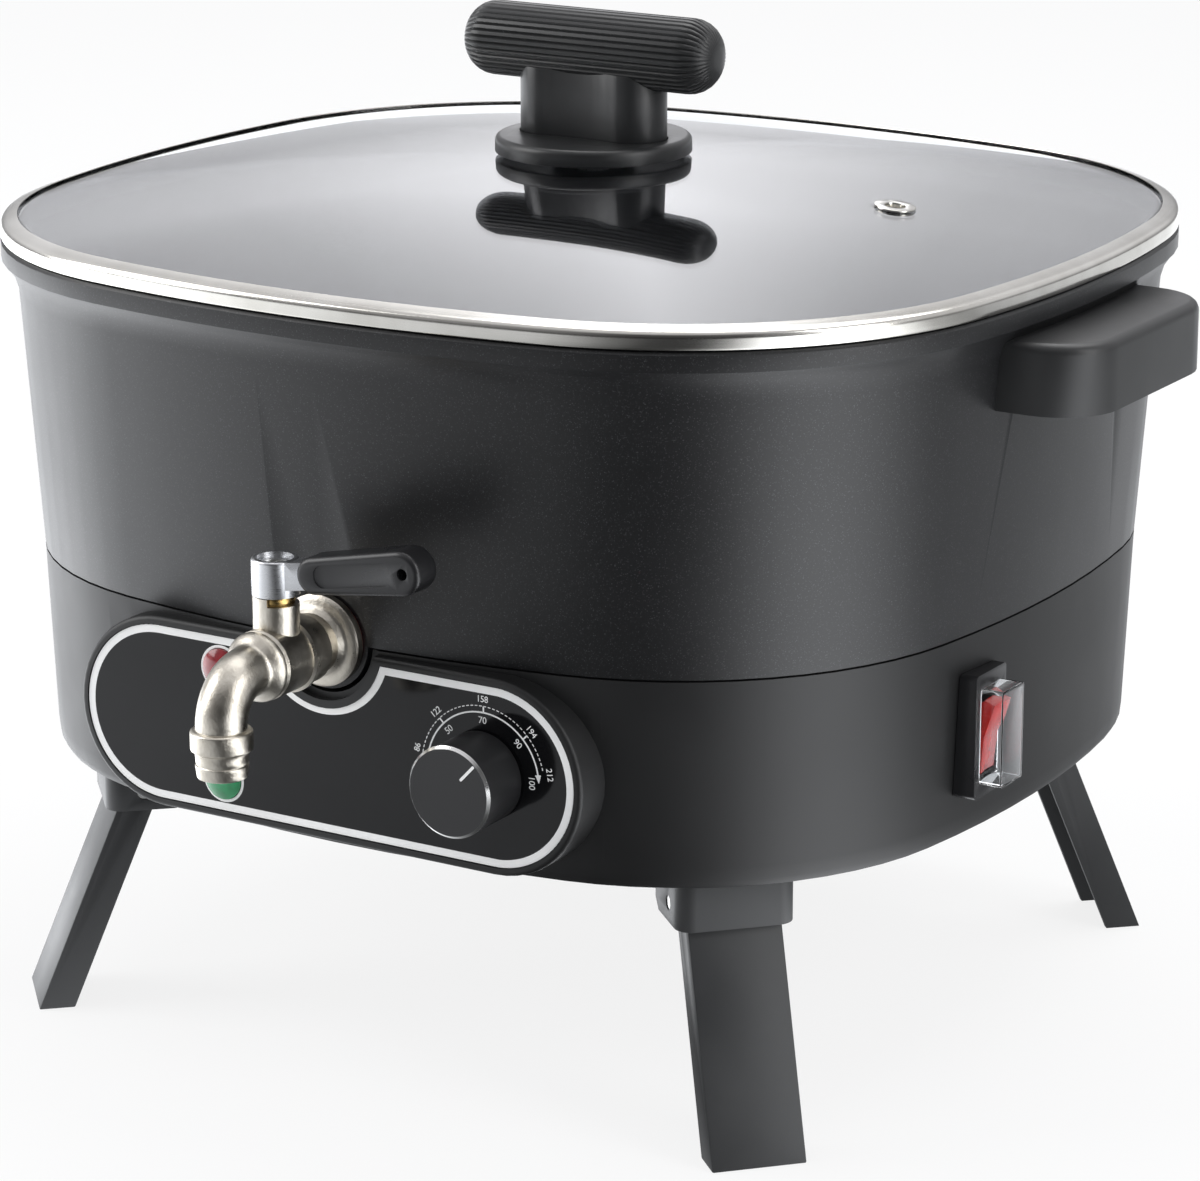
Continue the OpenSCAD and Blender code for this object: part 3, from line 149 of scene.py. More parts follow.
def copyOf(node, name):
    # a merged copy of a CAD node, ready to be bevelled and shaded
    mesh = parts[node].data.copy()
    piece = bpy.data.objects.new(name, mesh)
    bpy.context.collection.objects.link(piece)
    edit(piece)
    bpy.ops.mesh.select_all(action="SELECT")
    bpy.ops.mesh.remove_doubles(threshold=weld["copied"] * mm)
    bpy.ops.mesh.dissolve_limited(angle_limit=math.radians(weld["flatAngle"]))
    bpy.ops.object.mode_set(mode="OBJECT")
    if mesh.has_custom_normals:
        bpy.ops.mesh.customdata_custom_splitnormals_clear()
    return piece


def dress(node, name, body, key, bevel=0.0, segments=2, angle=32):
    # bevel is the width of the softened edges in mm, key names the finish
    piece = copyOf(node, name)
    if bevel:
        softenEdges(piece, bevel, segments, angle)
    smooth(piece, angle)
    place(piece, name, body, finish[key], [node])


def spot(x, y, z):
    # millimetres from the pot's axis, to metres in the frame
    return Vector((x * mm, (y + axisY) * mm, z * mm))


# shader groups

def newGroup(name, inputs, outputs):
    group = bpy.data.node_groups.new(name, "ShaderNodeTree")
    for label, kind, value in inputs:
        socket = group.interface.new_socket(name=label, in_out="INPUT", socket_type=kind)
        if value is not None:
            socket.default_value = value
    for label, kind in outputs:
        group.interface.new_socket(name=label, in_out="OUTPUT", socket_type=kind)
    start = group.nodes.new("NodeGroupInput")
    end = group.nodes.new("NodeGroupOutput")
    return group, start, end


def wire(tree, kind, inputs=None, **values):
    node = tree.nodes.new(kind)
    for key, value in values.items():
        setattr(node, key, value)
    for key, value in (inputs or {}).items():
        if isinstance(value, bpy.types.NodeSocket):
            tree.links.new(value, node.inputs[key])
        else:
            node.inputs[key].default_value = value
    return node


def maths(tree, operation, *terms):
    return wire(tree, "ShaderNodeMath", dict(enumerate(terms)), operation=operation).outputs[0]


def remap(tree, value, fromLow, fromHigh, low, high):
    return wire(tree, "ShaderNodeMapRange", {"Value": value, "From Min": fromLow, "From Max": fromHigh,
                "To Min": low, "To Max": high}).outputs[0]


def grainGroup():
    # fine moulded or cast grain: two sizes of noise and a slow variation
    group, start, end = newGroup("fineGrain", [
        ("Vector", "NodeSocketVector", None), ("Size", "NodeSocketFloat", 2500.0),
        ("Slow Size", "NodeSocketFloat", 30.0)],
        [("Grain", "NodeSocketFloat"), ("Slow", "NodeSocketFloat")])
    fine = wire(group, "ShaderNodeTexNoise", {"Vector": start.outputs["Vector"],
                "Scale": start.outputs["Size"], "Detail": 3.0, "Roughness": 0.6})
    coarseSize = maths(group, "MULTIPLY", start.outputs["Size"], 0.31)
    coarse = wire(group, "ShaderNodeTexNoise", {"Vector": start.outputs["Vector"],
                  "Scale": coarseSize, "Detail": 2.0})
    both = maths(group, "ADD", fine.outputs[0], coarse.outputs[0])
    grain = maths(group, "SUBTRACT", both, 0.5)
    slow = wire(group, "ShaderNodeTexNoise", {"Vector": start.outputs["Vector"],
                "Scale": start.outputs["Slow Size"], "Detail": 4.0, "Roughness": 0.55})
    group.links.new(grain, end.inputs["Grain"])
    group.links.new(slow.outputs[0], end.inputs["Slow"])
    return group


def flakeGroup():
    # metallic flakes in a powder coat: a few cells of a fine Voronoi light up
    group, start, end = newGroup("powderFlakes", [
        ("Vector", "NodeSocketVector", None), ("Size", "NodeSocketFloat", 2600.0),
        ("Share", "NodeSocketFloat", 0.1)],
        [("Flake", "NodeSocketFloat"), ("Tilt", "NodeSocketFloat")])
    cells = wire(group, "ShaderNodeTexVoronoi", {"Vector": start.outputs["Vector"],
                 "Scale": start.outputs["Size"]}, feature="F1")
    split = wire(group, "ShaderNodeSeparateColor", {"Color": cells.outputs["Color"]})
    limit = maths(group, "SUBTRACT", 1.0, start.outputs["Share"])
    flake = remap(group, split.outputs[0], limit, 1.0, 0.0, 1.0)
    group.links.new(flake, end.inputs["Flake"])
    group.links.new(split.outputs[1], end.inputs["Tilt"])
    return group


def brushGroup():
    # long fine scratches along one direction, from a stretched noise
    group, start, end = newGroup("brushedLines", [
        ("Vector", "NodeSocketVector", None), ("Stretch", "NodeSocketVector", (60.0, 4000.0, 4000.0))],
        [("Lines", "NodeSocketFloat")])
    stretched = wire(group, "ShaderNodeVectorMath", {0: start.outputs["Vector"],
                     1: start.outputs["Stretch"]}, operation="MULTIPLY")
    lines = wire(group, "ShaderNodeTexNoise", {"Vector": stretched.outputs[0], "Scale": 1.0,
                 "Detail": 3.0, "Roughness": 0.7})
    group.links.new(lines.outputs[0], end.inputs["Lines"])
    return group


def turnedGroup():
    # rings around the Z axis of the given coordinates, as a lathe leaves them
    group, start, end = newGroup("turnedRings", [
        ("Vector", "NodeSocketVector", None), ("Pitch", "NodeSocketFloat", 4000.0)],
        [("Rings", "NodeSocketFloat")])
    split = wire(group, "ShaderNodeSeparateXYZ", {"Vector": start.outputs["Vector"]})
    flat = wire(group, "ShaderNodeCombineXYZ", {"X": split.outputs[0], "Y": split.outputs[1]})
    radius = wire(group, "ShaderNodeVectorMath", {0: flat.outputs[0]}, operation="LENGTH")
    scaled = maths(group, "MULTIPLY", radius.outputs["Value"], start.outputs["Pitch"])
    rings = wire(group, "ShaderNodeTexNoise", {"W": scaled, "Scale": 1.0, "Detail": 2.0},
                 noise_dimensions="1D")
    group.links.new(rings.outputs[0], end.inputs["Rings"])
    return group


# light and dark round the object, from the front towards the right: (degrees, brightness);
# the bands are heights on a unit sphere: through the low one the room brightens, and through
# the high one it turns to an even white
studioRoom = {
    "floor": ((-180, 0.37), (-150, 0.3), (-122, 0.5), (-98, 0.63), (-84, 0.96), (-72, 0.96),
              (-62, 0.75), (-45, 0.45), (-25, 0.25), (-5, 0.18), (12, 0.06), (24, 0.015), (38, 0.015),
              (45, 0.08), (52, 0.29), (66, 0.86), (78, 0.93), (92, 0.56), (108, 0.16), (124, 0.095),
              (140, 0.18), (158, 0.24), (180, 0.37)),
    "room": ((-180, 0.36), (-166, 0.26), (-157, 0.42), (-149, 1.0), (-141, 0.52), (-132, 0.32),
             (-108, 0.36), (-60, 0.25), (-20, 0.12), (15, 0.03), (50, 0.03), (75, 0.2), (110, 0.3),
             (150, 0.32), (180, 0.36)),
    "floorGain": 4.3, "roomGain": 2.7, "lowShare": 0.36, "overhead": 0.9,
    "lowBand": (0.06, 0.32), "highBand": (0.62, 0.95),
}


def roomGroup(name, stops):
    group, start, end = newGroup(name, [("Vector", "NodeSocketVector", None)],
                                 [("Level", "NodeSocketFloat"), ("Height", "NodeSocketFloat")])
    split = wire(group, "ShaderNodeSeparateXYZ", {"Vector": start.outputs["Vector"]})
    front = maths(group, "MULTIPLY", split.outputs[1], -1.0)
    turn = maths(group, "ARCTAN2", split.outputs[0], front)
    share = remap(group, turn, -math.pi, math.pi, 0.0, 1.0)
    node = wire(group, "ShaderNodeValToRGB", {"Fac": share})
    made = node.color_ramp.elements
    while len(made) < len(stops):
        made.new(0.5)
    for stop, (turnAt, level) in zip(made, stops):
        stop.position = turnAt / 360 + 0.5
        stop.color = (level, level, level, 1.0)
    group.links.new(node.outputs["Color"], end.inputs["Level"])
    group.links.new(split.outputs[2], end.inputs["Height"])
    return group


groups = {"grain": grainGroup(), "flakes": flakeGroup(), "brush": brushGroup(), "turned": turnedGroup(),
          "floorLevel": roomGroup("floorLevel", studioRoom["floor"]),
          "roomLevel": roomGroup("roomLevel", studioRoom["room"])}
print("shader groups built:", len(groups))


# materials

# the parts of a noise's range that are spread over the two colours and over the roughness
noiseReach = {"colour": (0.35, 0.65), "rough": (0.3, 0.7)}


def startMaterial(name, roughness, metallic=0.0, ior=1.45, coat=0.0, transmission=0.0):
    material = bpy.data.materials.new(name)
    material.use_nodes = True
    tree = material.node_tree
    shader = tree.nodes["Principled BSDF"]
    shader.inputs["Roughness"].default_value = roughness
    shader.inputs["Metallic"].default_value = metallic
    shader.inputs["IOR"].default_value = ior
    shader.inputs["Coat Weight"].default_value = coat
    shader.inputs["Transmission Weight"].default_value = transmission
    where = wire(tree, "ShaderNodeTexCoord")
    return material, tree, shader, where.outputs["Object"]


def useGroup(tree, key, **inputs):
    node = tree.nodes.new("ShaderNodeGroup")
    node.node_tree = groups[key]
    for label, value in inputs.items():
        label = label.replace("_", " ")
        if isinstance(value, bpy.types.NodeSocket):
            tree.links.new(value, node.inputs[label])
        else:
            node.inputs[label].default_value = value
    return node


def ramp(tree, factor, dark, light, reach=noiseReach["colour"]):
    node = wire(tree, "ShaderNodeValToRGB", {"Fac": factor})
    for stop, position, colour in zip(node.color_ramp.elements, reach, (dark, light)):
        stop.position = position
        stop.color = (*colour, 1.0)
    return node.outputs["Color"]


def colourBy(tree, shader, factor, dark, light, reach=noiseReach["colour"]):
    tree.links.new(ramp(tree, factor, dark, light, reach), shader.inputs["Base Color"])


def roughBy(tree, shader, factor, low, high):
    tree.links.new(remap(tree, factor, *noiseReach["rough"], low, high), shader.inputs["Roughness"])


def bump(tree, shader, height, strength, depth):
    # depth is in mm
    node = wire(tree, "ShaderNodeBump", {"Height": height, "Strength": strength, "Distance": depth * mm})
    tree.links.new(node.outputs["Normal"], shader.inputs["Normal"])


def grainyMaterial(name, dark, light, roughness, spread=0.06, size=2500.0, depth=0.02, ior=1.45):
    # plastics, rubbers and painted metals: slow colour variation, grain in the bump
    values = {"slow": 30.0, "strength": 0.35}
    material, tree, shader, where = startMaterial(name, roughness, ior=ior)
    grain = useGroup(tree, "grain", Vector=where, Size=size, Slow_Size=values["slow"])
    colourBy(tree, shader, grain.outputs["Slow"], dark, light)
    roughBy(tree, shader, grain.outputs["Slow"], roughness - spread, roughness + spread)
    bump(tree, shader, grain.outputs["Grain"], values["strength"], depth)
    return material


def brushedMaterial(name, dark, light, roughness, stretch):
    # bare metals with fine lines along one direction
    values = {"slow": 25.0, "spread": 0.06, "strength": 0.3, "depth": 0.004}
    material, tree, shader, where = startMaterial(name, roughness, metallic=1.0)
    brush = useGroup(tree, "brush", Vector=where, Stretch=stretch)
    grain = useGroup(tree, "grain", Vector=where, Slow_Size=values["slow"])
    colourBy(tree, shader, grain.outputs["Slow"], dark, light)
    roughBy(tree, shader, brush.outputs["Lines"], roughness - values["spread"],
            roughness + values["spread"])
    bump(tree, shader, brush.outputs["Lines"], values["strength"], values["depth"])
    return material


def potCoatMaterial():
    # charcoal powder coat with a fine metallic sparkle
    values = {"dark": (0.006, 0.0062, 0.0068), "light": (0.0085, 0.0088, 0.0096), "roughness": 0.4,
              "spread": 0.03, "size": 1500.0, "slow": 14.0, "flakeSize": 4200.0, "share": 0.09,
              "speck": (0.06, 0.06, 0.064, 1.0), "speckMetal": 0.45, "strength": 0.12, "depth": 0.012}
    material, tree, shader, where = startMaterial("potCoat", values["roughness"])
    grain = useGroup(tree, "grain", Vector=where, Size=values["size"], Slow_Size=values["slow"])
    flakes = useGroup(tree, "flakes", Vector=where, Size=values["flakeSize"], Share=values["share"])
    base = ramp(tree, grain.outputs["Slow"], values["dark"], values["light"])
    speck = wire(tree, "ShaderNodeMix", {"Factor": flakes.outputs["Flake"]}, data_type="RGBA")
    tree.links.new(base, speck.inputs["A"])
    speck.inputs["B"].default_value = values["speck"]
    tree.links.new(speck.outputs["Result"], shader.inputs["Base Color"])
    metal = maths(tree, "MULTIPLY", flakes.outputs["Flake"], values["speckMetal"])
    tree.links.new(metal, shader.inputs["Metallic"])
    roughBy(tree, shader, grain.outputs["Slow"], values["roughness"] - values["spread"],
            values["roughness"] + values["spread"])
    height = maths(tree, "ADD", flakes.outputs["Tilt"], grain.outputs["Grain"])
    bump(tree, shader, height, values["strength"], values["depth"])
    return material


def basePlasticMaterial():
    # matte black moulding with two faint parting lines down its front
    values = {"dark": (0.006, 0.0061, 0.0063), "light": (0.009, 0.0091, 0.0094), "roughness": 0.46,
              "spread": 0.04, "size": 2600.0, "slow": 18.0, "lines": (83.0, -128.0),
              "lineWidth": 0.25, "lineHeight": 3.0, "strength": 0.3, "depth": 0.03}
    material, tree, shader, where = startMaterial("basePlastic", values["roughness"])
    grain = useGroup(tree, "grain", Vector=where, Size=values["size"], Slow_Size=values["slow"])
    colourBy(tree, shader, grain.outputs["Slow"], values["dark"], values["light"])
    roughBy(tree, shader, grain.outputs["Slow"], values["roughness"] - values["spread"],
            values["roughness"] + values["spread"])
    split = wire(tree, "ShaderNodeSeparateXYZ", {"Vector": where})
    front = maths(tree, "LESS_THAN", split.outputs[1], 0.0)
    height = grain.outputs["Grain"]
    for x in values["lines"]:
        off = maths(tree, "SUBTRACT", split.outputs[0], x * mm)
        near = maths(tree, "COMPARE", off, 0.0, values["lineWidth"] * mm)
        line = maths(tree, "MULTIPLY", near, front)
        height = maths(tree, "MULTIPLY_ADD", line, values["lineHeight"], height)
    bump(tree, shader, height, values["strength"], values["depth"])
    return material


def glassMaterial():
    # a high index, so that the lid mirrors the room as strongly as in the photograph
    values = {"colour": (0.8, 0.82, 0.87, 1.0), "rough": (0.0, 0.035), "ior": 1.85, "slow": 9.0}
    material, tree, shader, where = startMaterial("lidGlass", 0.0, ior=values["ior"], transmission=1.0)
    shader.inputs["Base Color"].default_value = values["colour"]
    smear = useGroup(tree, "grain", Vector=where, Slow_Size=values["slow"])
    roughBy(tree, shader, smear.outputs["Slow"], *values["rough"])
    return material


def castNickelMaterial():
    # nickel plate over a sand-cast surface
    values = {"dark": (0.5, 0.465, 0.4), "light": (0.62, 0.585, 0.52), "reach": (0.3, 0.7),
              "roughness": 0.28, "rough": (0.27, 0.34), "size": 2000.0, "slow": 260.0,
              "strength": 0.75, "depth": 0.1}
    material, tree, shader, where = startMaterial("castNickel", values["roughness"], metallic=1.0)
    grain = useGroup(tree, "grain", Vector=where, Size=values["size"], Slow_Size=values["slow"])
    colourBy(tree, shader, grain.outputs["Slow"], values["dark"], values["light"], values["reach"])
    roughBy(tree, shader, grain.outputs["Slow"], *values["rough"])
    bump(tree, shader, grain.outputs["Grain"], values["strength"], values["depth"])
    return material


def turnedMaterial(name, dark, light, roughness, metallic):
    # lathe rings round the dial's axis, which runs along Y
    values = {"pitch": 5000.0, "spread": 0.06, "strength": 0.4, "depth": 0.006}
    material, tree, shader, where = startMaterial(name, roughness, metallic)
    moved = wire(tree, "ShaderNodeMapping", {"Vector": where}, vector_type="POINT")
    moved.inputs["Location"].default_value = (-dialX * mm, 0.0, -panelZ * mm)
    split = wire(tree, "ShaderNodeSeparateXYZ", {"Vector": moved.outputs[0]})
    face = wire(tree, "ShaderNodeCombineXYZ", {"X": split.outputs[0], "Y": split.outputs[2]})
    turned = useGroup(tree, "turned", Vector=face.outputs[0], Pitch=values["pitch"])
    colourBy(tree, shader, turned.outputs["Rings"], dark, light)
    roughBy(tree, shader, turned.outputs["Rings"], roughness - values["spread"],
            roughness + values["spread"])
    bump(tree, shader, turned.outputs["Rings"], values["strength"], values["depth"])
    return material


def clearMaterial():
    # the soft splash cap, a little wavy
    values = {"colour": (0.93, 0.94, 0.95, 1.0), "roughness": 0.05, "rough": (0.0, 0.04),
              "slow": 150.0, "strength": 0.1, "depth": 0.02}
    material, tree, shader, where = startMaterial("clearCover", values["roughness"], transmission=1.0)
    shader.inputs["Base Color"].default_value = values["colour"]
    grain = useGroup(tree, "grain", Vector=where, Slow_Size=values["slow"])
    roughBy(tree, shader, grain.outputs["Slow"], *values["rough"])
    bump(tree, shader, grain.outputs["Slow"], values["strength"], values["depth"])
    return material


def lensMaterial(name, dark, light):
    values = {"roughness": 0.18, "rough": (0.14, 0.26), "ior": 1.5, "coat": 0.4, "slow": 260.0,
              "strength": 0.25, "depth": 0.15}
    material, tree, shader, where = startMaterial(name, values["roughness"], ior=values["ior"],
                                                  coat=values["coat"])
    grain = useGroup(tree, "grain", Vector=where, Slow_Size=values["slow"])
    colourBy(tree, shader, grain.outputs["Slow"], dark, light)
    roughBy(tree, shader, grain.outputs["Slow"], *values["rough"])
    bump(tree, shader, grain.outputs["Slow"], values["strength"], values["depth"])
    return material


finish = {
    "potCoat": potCoatMaterial(),
    "basePlastic": basePlasticMaterial(),
    "lidGlass": glassMaterial(),
    "castNickel": castNickelMaterial(),
    "clearCover": clearMaterial(),
    "bakelite": grainyMaterial("bakelite", (0.016, 0.0165, 0.017), (0.022, 0.0225, 0.023), 0.36,
                               size=3000.0, depth=0.008),
    "handlePlastic": grainyMaterial("handlePlastic", (0.02, 0.0205, 0.021), (0.027, 0.0275, 0.028), 0.45,
                                    size=3000.0, depth=0.012),
    "legPlastic": grainyMaterial("legPlastic", (0.026, 0.027, 0.028), (0.036, 0.037, 0.038), 0.5,
                                 size=2200.0, depth=0.025),
    "gripPlastic": grainyMaterial("gripPlastic", (0.01, 0.01, 0.011), (0.016, 0.016, 0.017), 0.3,
                                  size=2600.0, depth=0.006),
    "blackSheet": grainyMaterial("blackSheet", (0.03, 0.03, 0.031), (0.045, 0.045, 0.046), 0.5,
                                 size=1800.0, depth=0.02),
    "gloss": grainyMaterial("glossPlate", (0.004, 0.004, 0.0045), (0.006, 0.006, 0.0065), 0.1,
                            spread=0.03, size=300.0, depth=0.002, ior=1.36),
    "print": grainyMaterial("whitePrint", (0.78, 0.78, 0.77), (0.86, 0.86, 0.85), 0.45, size=3500.0,
                            depth=0.004),
    "bezel": grainyMaterial("bezelPlastic", (0.01, 0.01, 0.011), (0.016, 0.016, 0.017), 0.3, size=2800.0,
                            depth=0.008),
    "steel": brushedMaterial("steelTrim", (0.54, 0.525, 0.485), (0.68, 0.665, 0.63), 0.18,
                             (50.0, 50.0, 5000.0)),
    "screwSteel": brushedMaterial("screwSteel", (0.45, 0.45, 0.44), (0.6, 0.6, 0.58), 0.3,
                                  (900.0, 900.0, 900.0)),
    "leverMetal": brushedMaterial("leverMetal", (0.62, 0.63, 0.65), (0.8, 0.81, 0.83), 0.3,
                                  (300.0, 300.0, 3500.0)),
    "brass": brushedMaterial("glandBrass", (0.5, 0.34, 0.13), (0.66, 0.47, 0.2), 0.25,
                             (200.0, 200.0, 3500.0)),
    "copper": brushedMaterial("tubeCopper", (0.5, 0.24, 0.12), (0.62, 0.32, 0.18), 0.3,
                              (900.0, 900.0, 900.0)),
    "sheet": brushedMaterial("aluminisedSheet", (0.5, 0.49, 0.47), (0.62, 0.61, 0.58), 0.42,
                             (60.0, 2500.0, 2500.0)),
    "rubber": grainyMaterial("siliconeBlack", (0.015, 0.015, 0.015), (0.022, 0.022, 0.022), 0.6),
    "redRubber": grainyMaterial("siliconeRed", (0.26, 0.03, 0.02), (0.36, 0.05, 0.03), 0.55),
    "cream": grainyMaterial("creamPlastic", (0.58, 0.55, 0.48), (0.68, 0.65, 0.58), 0.45),
    "seatPlastic": grainyMaterial("seatPlastic", (0.76, 0.75, 0.72), (0.84, 0.83, 0.8), 0.4),
    "dialBlack": turnedMaterial("dialBlack", (0.012, 0.012, 0.013), (0.02, 0.02, 0.021), 0.34, 0.0),
    "chamfer": turnedMaterial("brightChamfer", (0.72, 0.72, 0.71), (0.86, 0.86, 0.85), 0.2, 1.0),
    "redLens": lensMaterial("redLens", (0.17, 0.007, 0.012), (0.26, 0.016, 0.022)),
    "amberLens": lensMaterial("amberLens", (0.5, 0.16, 0.01), (0.62, 0.24, 0.02)),
    "greenLens": lensMaterial("greenLens", (0.0, 0.16, 0.05), (0.005, 0.24, 0.08)),
    "rockerRed": lensMaterial("rockerRed", (0.5, 0.006, 0.004), (0.62, 0.016, 0.01)),
}
print("materials made:", len(finish))


# CAD nodes that stay, with better materials

nodeFinish = {
    "bottom_plate": "blackSheet", "handle_screws": "screwSteel", "lamp_bodies": "cream",
    "thermostat_body": "sheet", "thermostat_nut": "screwSteel", "capillary_bulb": "copper",
    "bulb_clips": "screwSteel", "thermal_fuse": "cream", "heating_element": "sheet",
    "heat_shield": "sheet", "terminal_block": "cream", "pot_bolts": "screwSteel",
    "switch_body": "bezel", "tap_seats": "seatPlastic", "tap_gasket": "redRubber",
    "tap_locknut": "castNickel", "tap_stem": "castNickel", "tap_ball": "castNickel",
    "leg_pins": "screwSteel", "bracket_screws": "screwSteel", "knob_screw": "screwSteel",
    "knob_gasket": "rubber", "dial_shaft": "screwSteel", "dial_knob": "dialBlack",
    "lamp_red": "redLens", "lamp_amber": "amberLens", "lamp_green": "greenLens",
    "panel_inlay": "gloss",
}
for node, key in nodeFinish.items():
    parts[node].data.materials.clear()
    parts[node].data.materials.append(finish[key])
print("CAD nodes finished in place:", len(nodeFinish))


# pot, base and the pieces whose CAD form is right

dress("pot", "potShell", "base", "potCoat", 0.35, angle=30)
dress("base_housing", "baseShell", "base", "basePlastic", angle=28)
for side in ("right", "left"):
    dress("side_handle_" + side, "sideHandle." + side, "base", "handlePlastic",
          0.8, segments=3)
for corner in ("front_right", "front_left", "rear_right", "rear_left"):
    dress("bracket_" + corner, "bracket." + corner, "base", "legPlastic", 0.5)
    dress("leg_" + corner, "leg." + corner, corner + "_leg", "legPlastic", 0.5)
dress("cord_grommet", "leadGrommet", "base", "rubber", 0.4)
print("shells, handles, brackets and legs dressed")

dress("tap_body", "tapBody", "base", "castNickel", 0.35)
dress("tap_spout", "tapSpout", "base", "castNickel", 0.3)
dress("tap_gland", "tapGland", "base", "brass", 0.15)
dress("tap_lever", "tapLever", "tap_handle", "leverMetal", 0.35)
dress("tap_grip", "tapGrip", "tap_handle", "gripPlastic", 0.5)
dress("tap_screw", "tapScrew", "tap_handle", "screwSteel", 0.15)
print("tap dressed")

dress("knob_disc", "knobDisc", "lid", "bakelite", 0.3)
dress("knob_stem", "knobStem", "lid", "bakelite", 0.5)
dress("vent_grommet", "ventGrommet", "lid", "steel", 0.2)
dress("switch_bezel", "switchBezel", "base", "bezel", 0.5)
dress("switch_rocker", "switchRocker", "rocker", "rockerRed", 0.4, segments=3)
dress("switch_cover", "splashCover", "base", "clearCover", 0.25)
print("knob foot, vent and switch dressed")


# the outline, drawn with spins

outline = {
    "width": 324.0, "depth": 305.0, "corner": 104.0, "bowX": 3.4, "bowY": 5.0,
    "sideSteps": 10, "cornerSteps": 26,
}


def outlineArcs():
    # centre and turn of each of the arcs that make the outline, anticlockwise from +X
    halfX, halfY = outline["width"] / 2, outline["depth"] / 2
    corner, bowX, bowY = outline["corner"], outline["bowX"], outline["bowY"]
    cornerX, cornerY = halfX - corner - bowX, halfY - corner - bowY
    sideX = ((corner + bowX) ** 2 + cornerY ** 2 - corner ** 2) / (2 * bowX)
    sideY = ((corner + bowY) ** 2 + cornerX ** 2 - corner ** 2) / (2 * bowY)
    turnX = math.atan2(cornerY, sideX - corner - bowX)
    turnY = math.atan2(cornerX, sideY - corner - bowY)
    turnCorner = math.pi / 2 - turnX - turnY
    half, full = outline["sideSteps"], outline["cornerSteps"]
    return [
        ((halfX - sideX, 0), turnX, half), ((cornerX, cornerY), turnCorner, full),
        ((0, halfY - sideY), 2 * turnY, 2 * half), ((-cornerX, cornerY), turnCorner, full),
        ((sideX - halfX, 0), 2 * turnX, 2 * half), ((-cornerX, -cornerY), turnCorner, full),
        ((0, sideY - halfY), 2 * turnY, 2 * half), ((cornerX, -cornerY), turnCorner, full),
        ((halfX - sideX, 0), turnX, half)]


def drawProfile(name, points, closed):
    # points are (inset, z): a chain of vertices in the plane y = 0 on the +X side
    halfX = outline["width"] / 2
    places = [spot(halfX - inset, 0, z) for inset, z in points]
    mesh = bpy.data.meshes.new(name)
    mesh.from_pydata([places[0]], [], [])
    piece = bpy.data.objects.new(name, mesh)
    bpy.context.collection.objects.link(piece)
    edit(piece, "VERT")
    bpy.ops.mesh.select_all(action="SELECT")
    for before, after in zip(places, places[1:]):
        bpy.ops.mesh.extrude_region_move(TRANSFORM_OT_translate={"value": after - before})
    if closed:
        ends = (places[0], places[-1])
        choose(piece, "VERT", lambda corner: min((corner - end).length for end in ends) < hair)
        bpy.ops.mesh.edge_face_add()
    return piece


def sweepOutline(piece):
    bpy.ops.mesh.select_all(action="SELECT")
    for centre, turn, steps in outlineArcs():
        # a spin turns clockwise about its axis, the outline goes the other way
        bpy.ops.mesh.spin(steps=steps, angle=-turn, center=spot(*centre, 0), axis=(0, 0, 1))
    tidyNormals(piece)


# lid glass: the outline drawn once, then drawn in and lifted ring by ring

lidGlass = {
    "inset": 1.2, "edgeZ": 231.0, "thick": 4.0, "rise": 15.6, "rings": 26, "ventX": 100.0,
    "ventR": 4.0, "ventTilt": 6.9, "screwR": 3.5, "holeSides": 48, "drill": 30.0,
    "edge": 0.6, "edgeSteps": 3, "edgeAngle": 50,
}


def makeLidGlass():
    values = lidGlass
    top = values["edgeZ"] + values["thick"]
    piece = drawProfile("lidGlassPane", [(values["inset"], top)], False)
    sweepOutline(piece)
    edit(piece, "VERT")
    bpy.ops.mesh.select_all(action="SELECT")
    size, height = 1.0, 0.0
    for ring in range(1, values["rings"]):
        nextSize = 1.0 - ring / values["rings"]
        nextHeight = values["rise"] * (1 - nextSize ** 2)
        bpy.ops.mesh.extrude_region_move(
            TRANSFORM_OT_translate={"value": (0, 0, (nextHeight - height) * mm)})
        bpy.ops.transform.resize(value=(nextSize / size, nextSize / size, 1),
                                 center_override=spot(0, 0, top + nextHeight))
        size, height = nextSize, nextHeight
    bpy.ops.mesh.edge_face_add()
    bpy.ops.mesh.select_all(action="SELECT")
    bpy.ops.mesh.normals_make_consistent(inside=False)
    letGo()
    addModifier(piece, "SOLIDIFY", thickness=values["thick"] * mm, offset=-1.0, use_even_offset=False)
    # holes for the vent, square to the dome, and for the knob's screw
    ventZ = top + values["rise"] * (1 - (values["ventX"] / (outline["width"] / 2 - values["inset"])) ** 2)
    for x, z, radius, tilt in ((values["ventX"], ventZ, values["ventR"], values["ventTilt"]),
                               (0.0, top + values["rise"], values["screwR"], 0.0)):
        cutAway(piece, cylinder(radius, values["drill"], spot(x, 0, z), values["holeSides"],
                                (0, math.radians(tilt), 0)))
    softenEdges(piece, values["edge"], values["edgeSteps"], values["edgeAngle"])
    smooth(piece, angle=40)
    place(piece, "lidGlassPane", "lid", finish["lidGlass"], ["lid_glass"])


# lid rim: a rolled steel section swept round the outline

lidRim = {
    "z": 230.3,
    "section": [
        (6.7, -4.4), (6.0, -4.4), (6.0, -0.5), (5.6, 0.0), (1.1, 0.0), (0.55, 0.12), (0.18, 0.45),
        (0.02, 1.0), (0.0, 1.9), (0.0, 3.2), (0.06, 3.9), (0.28, 4.5), (0.7, 5.0), (1.3, 5.35),
        (2.1, 5.62), (3.3, 5.95), (4.6, 6.28), (5.0, 6.36), (5.1, 6.2), (5.0, 6.0), (4.4, 5.8),
        (2.4, 5.25), (1.4, 4.9), (1.05, 4.5), (1.0, 0.72), (6.7, 0.66)],
}


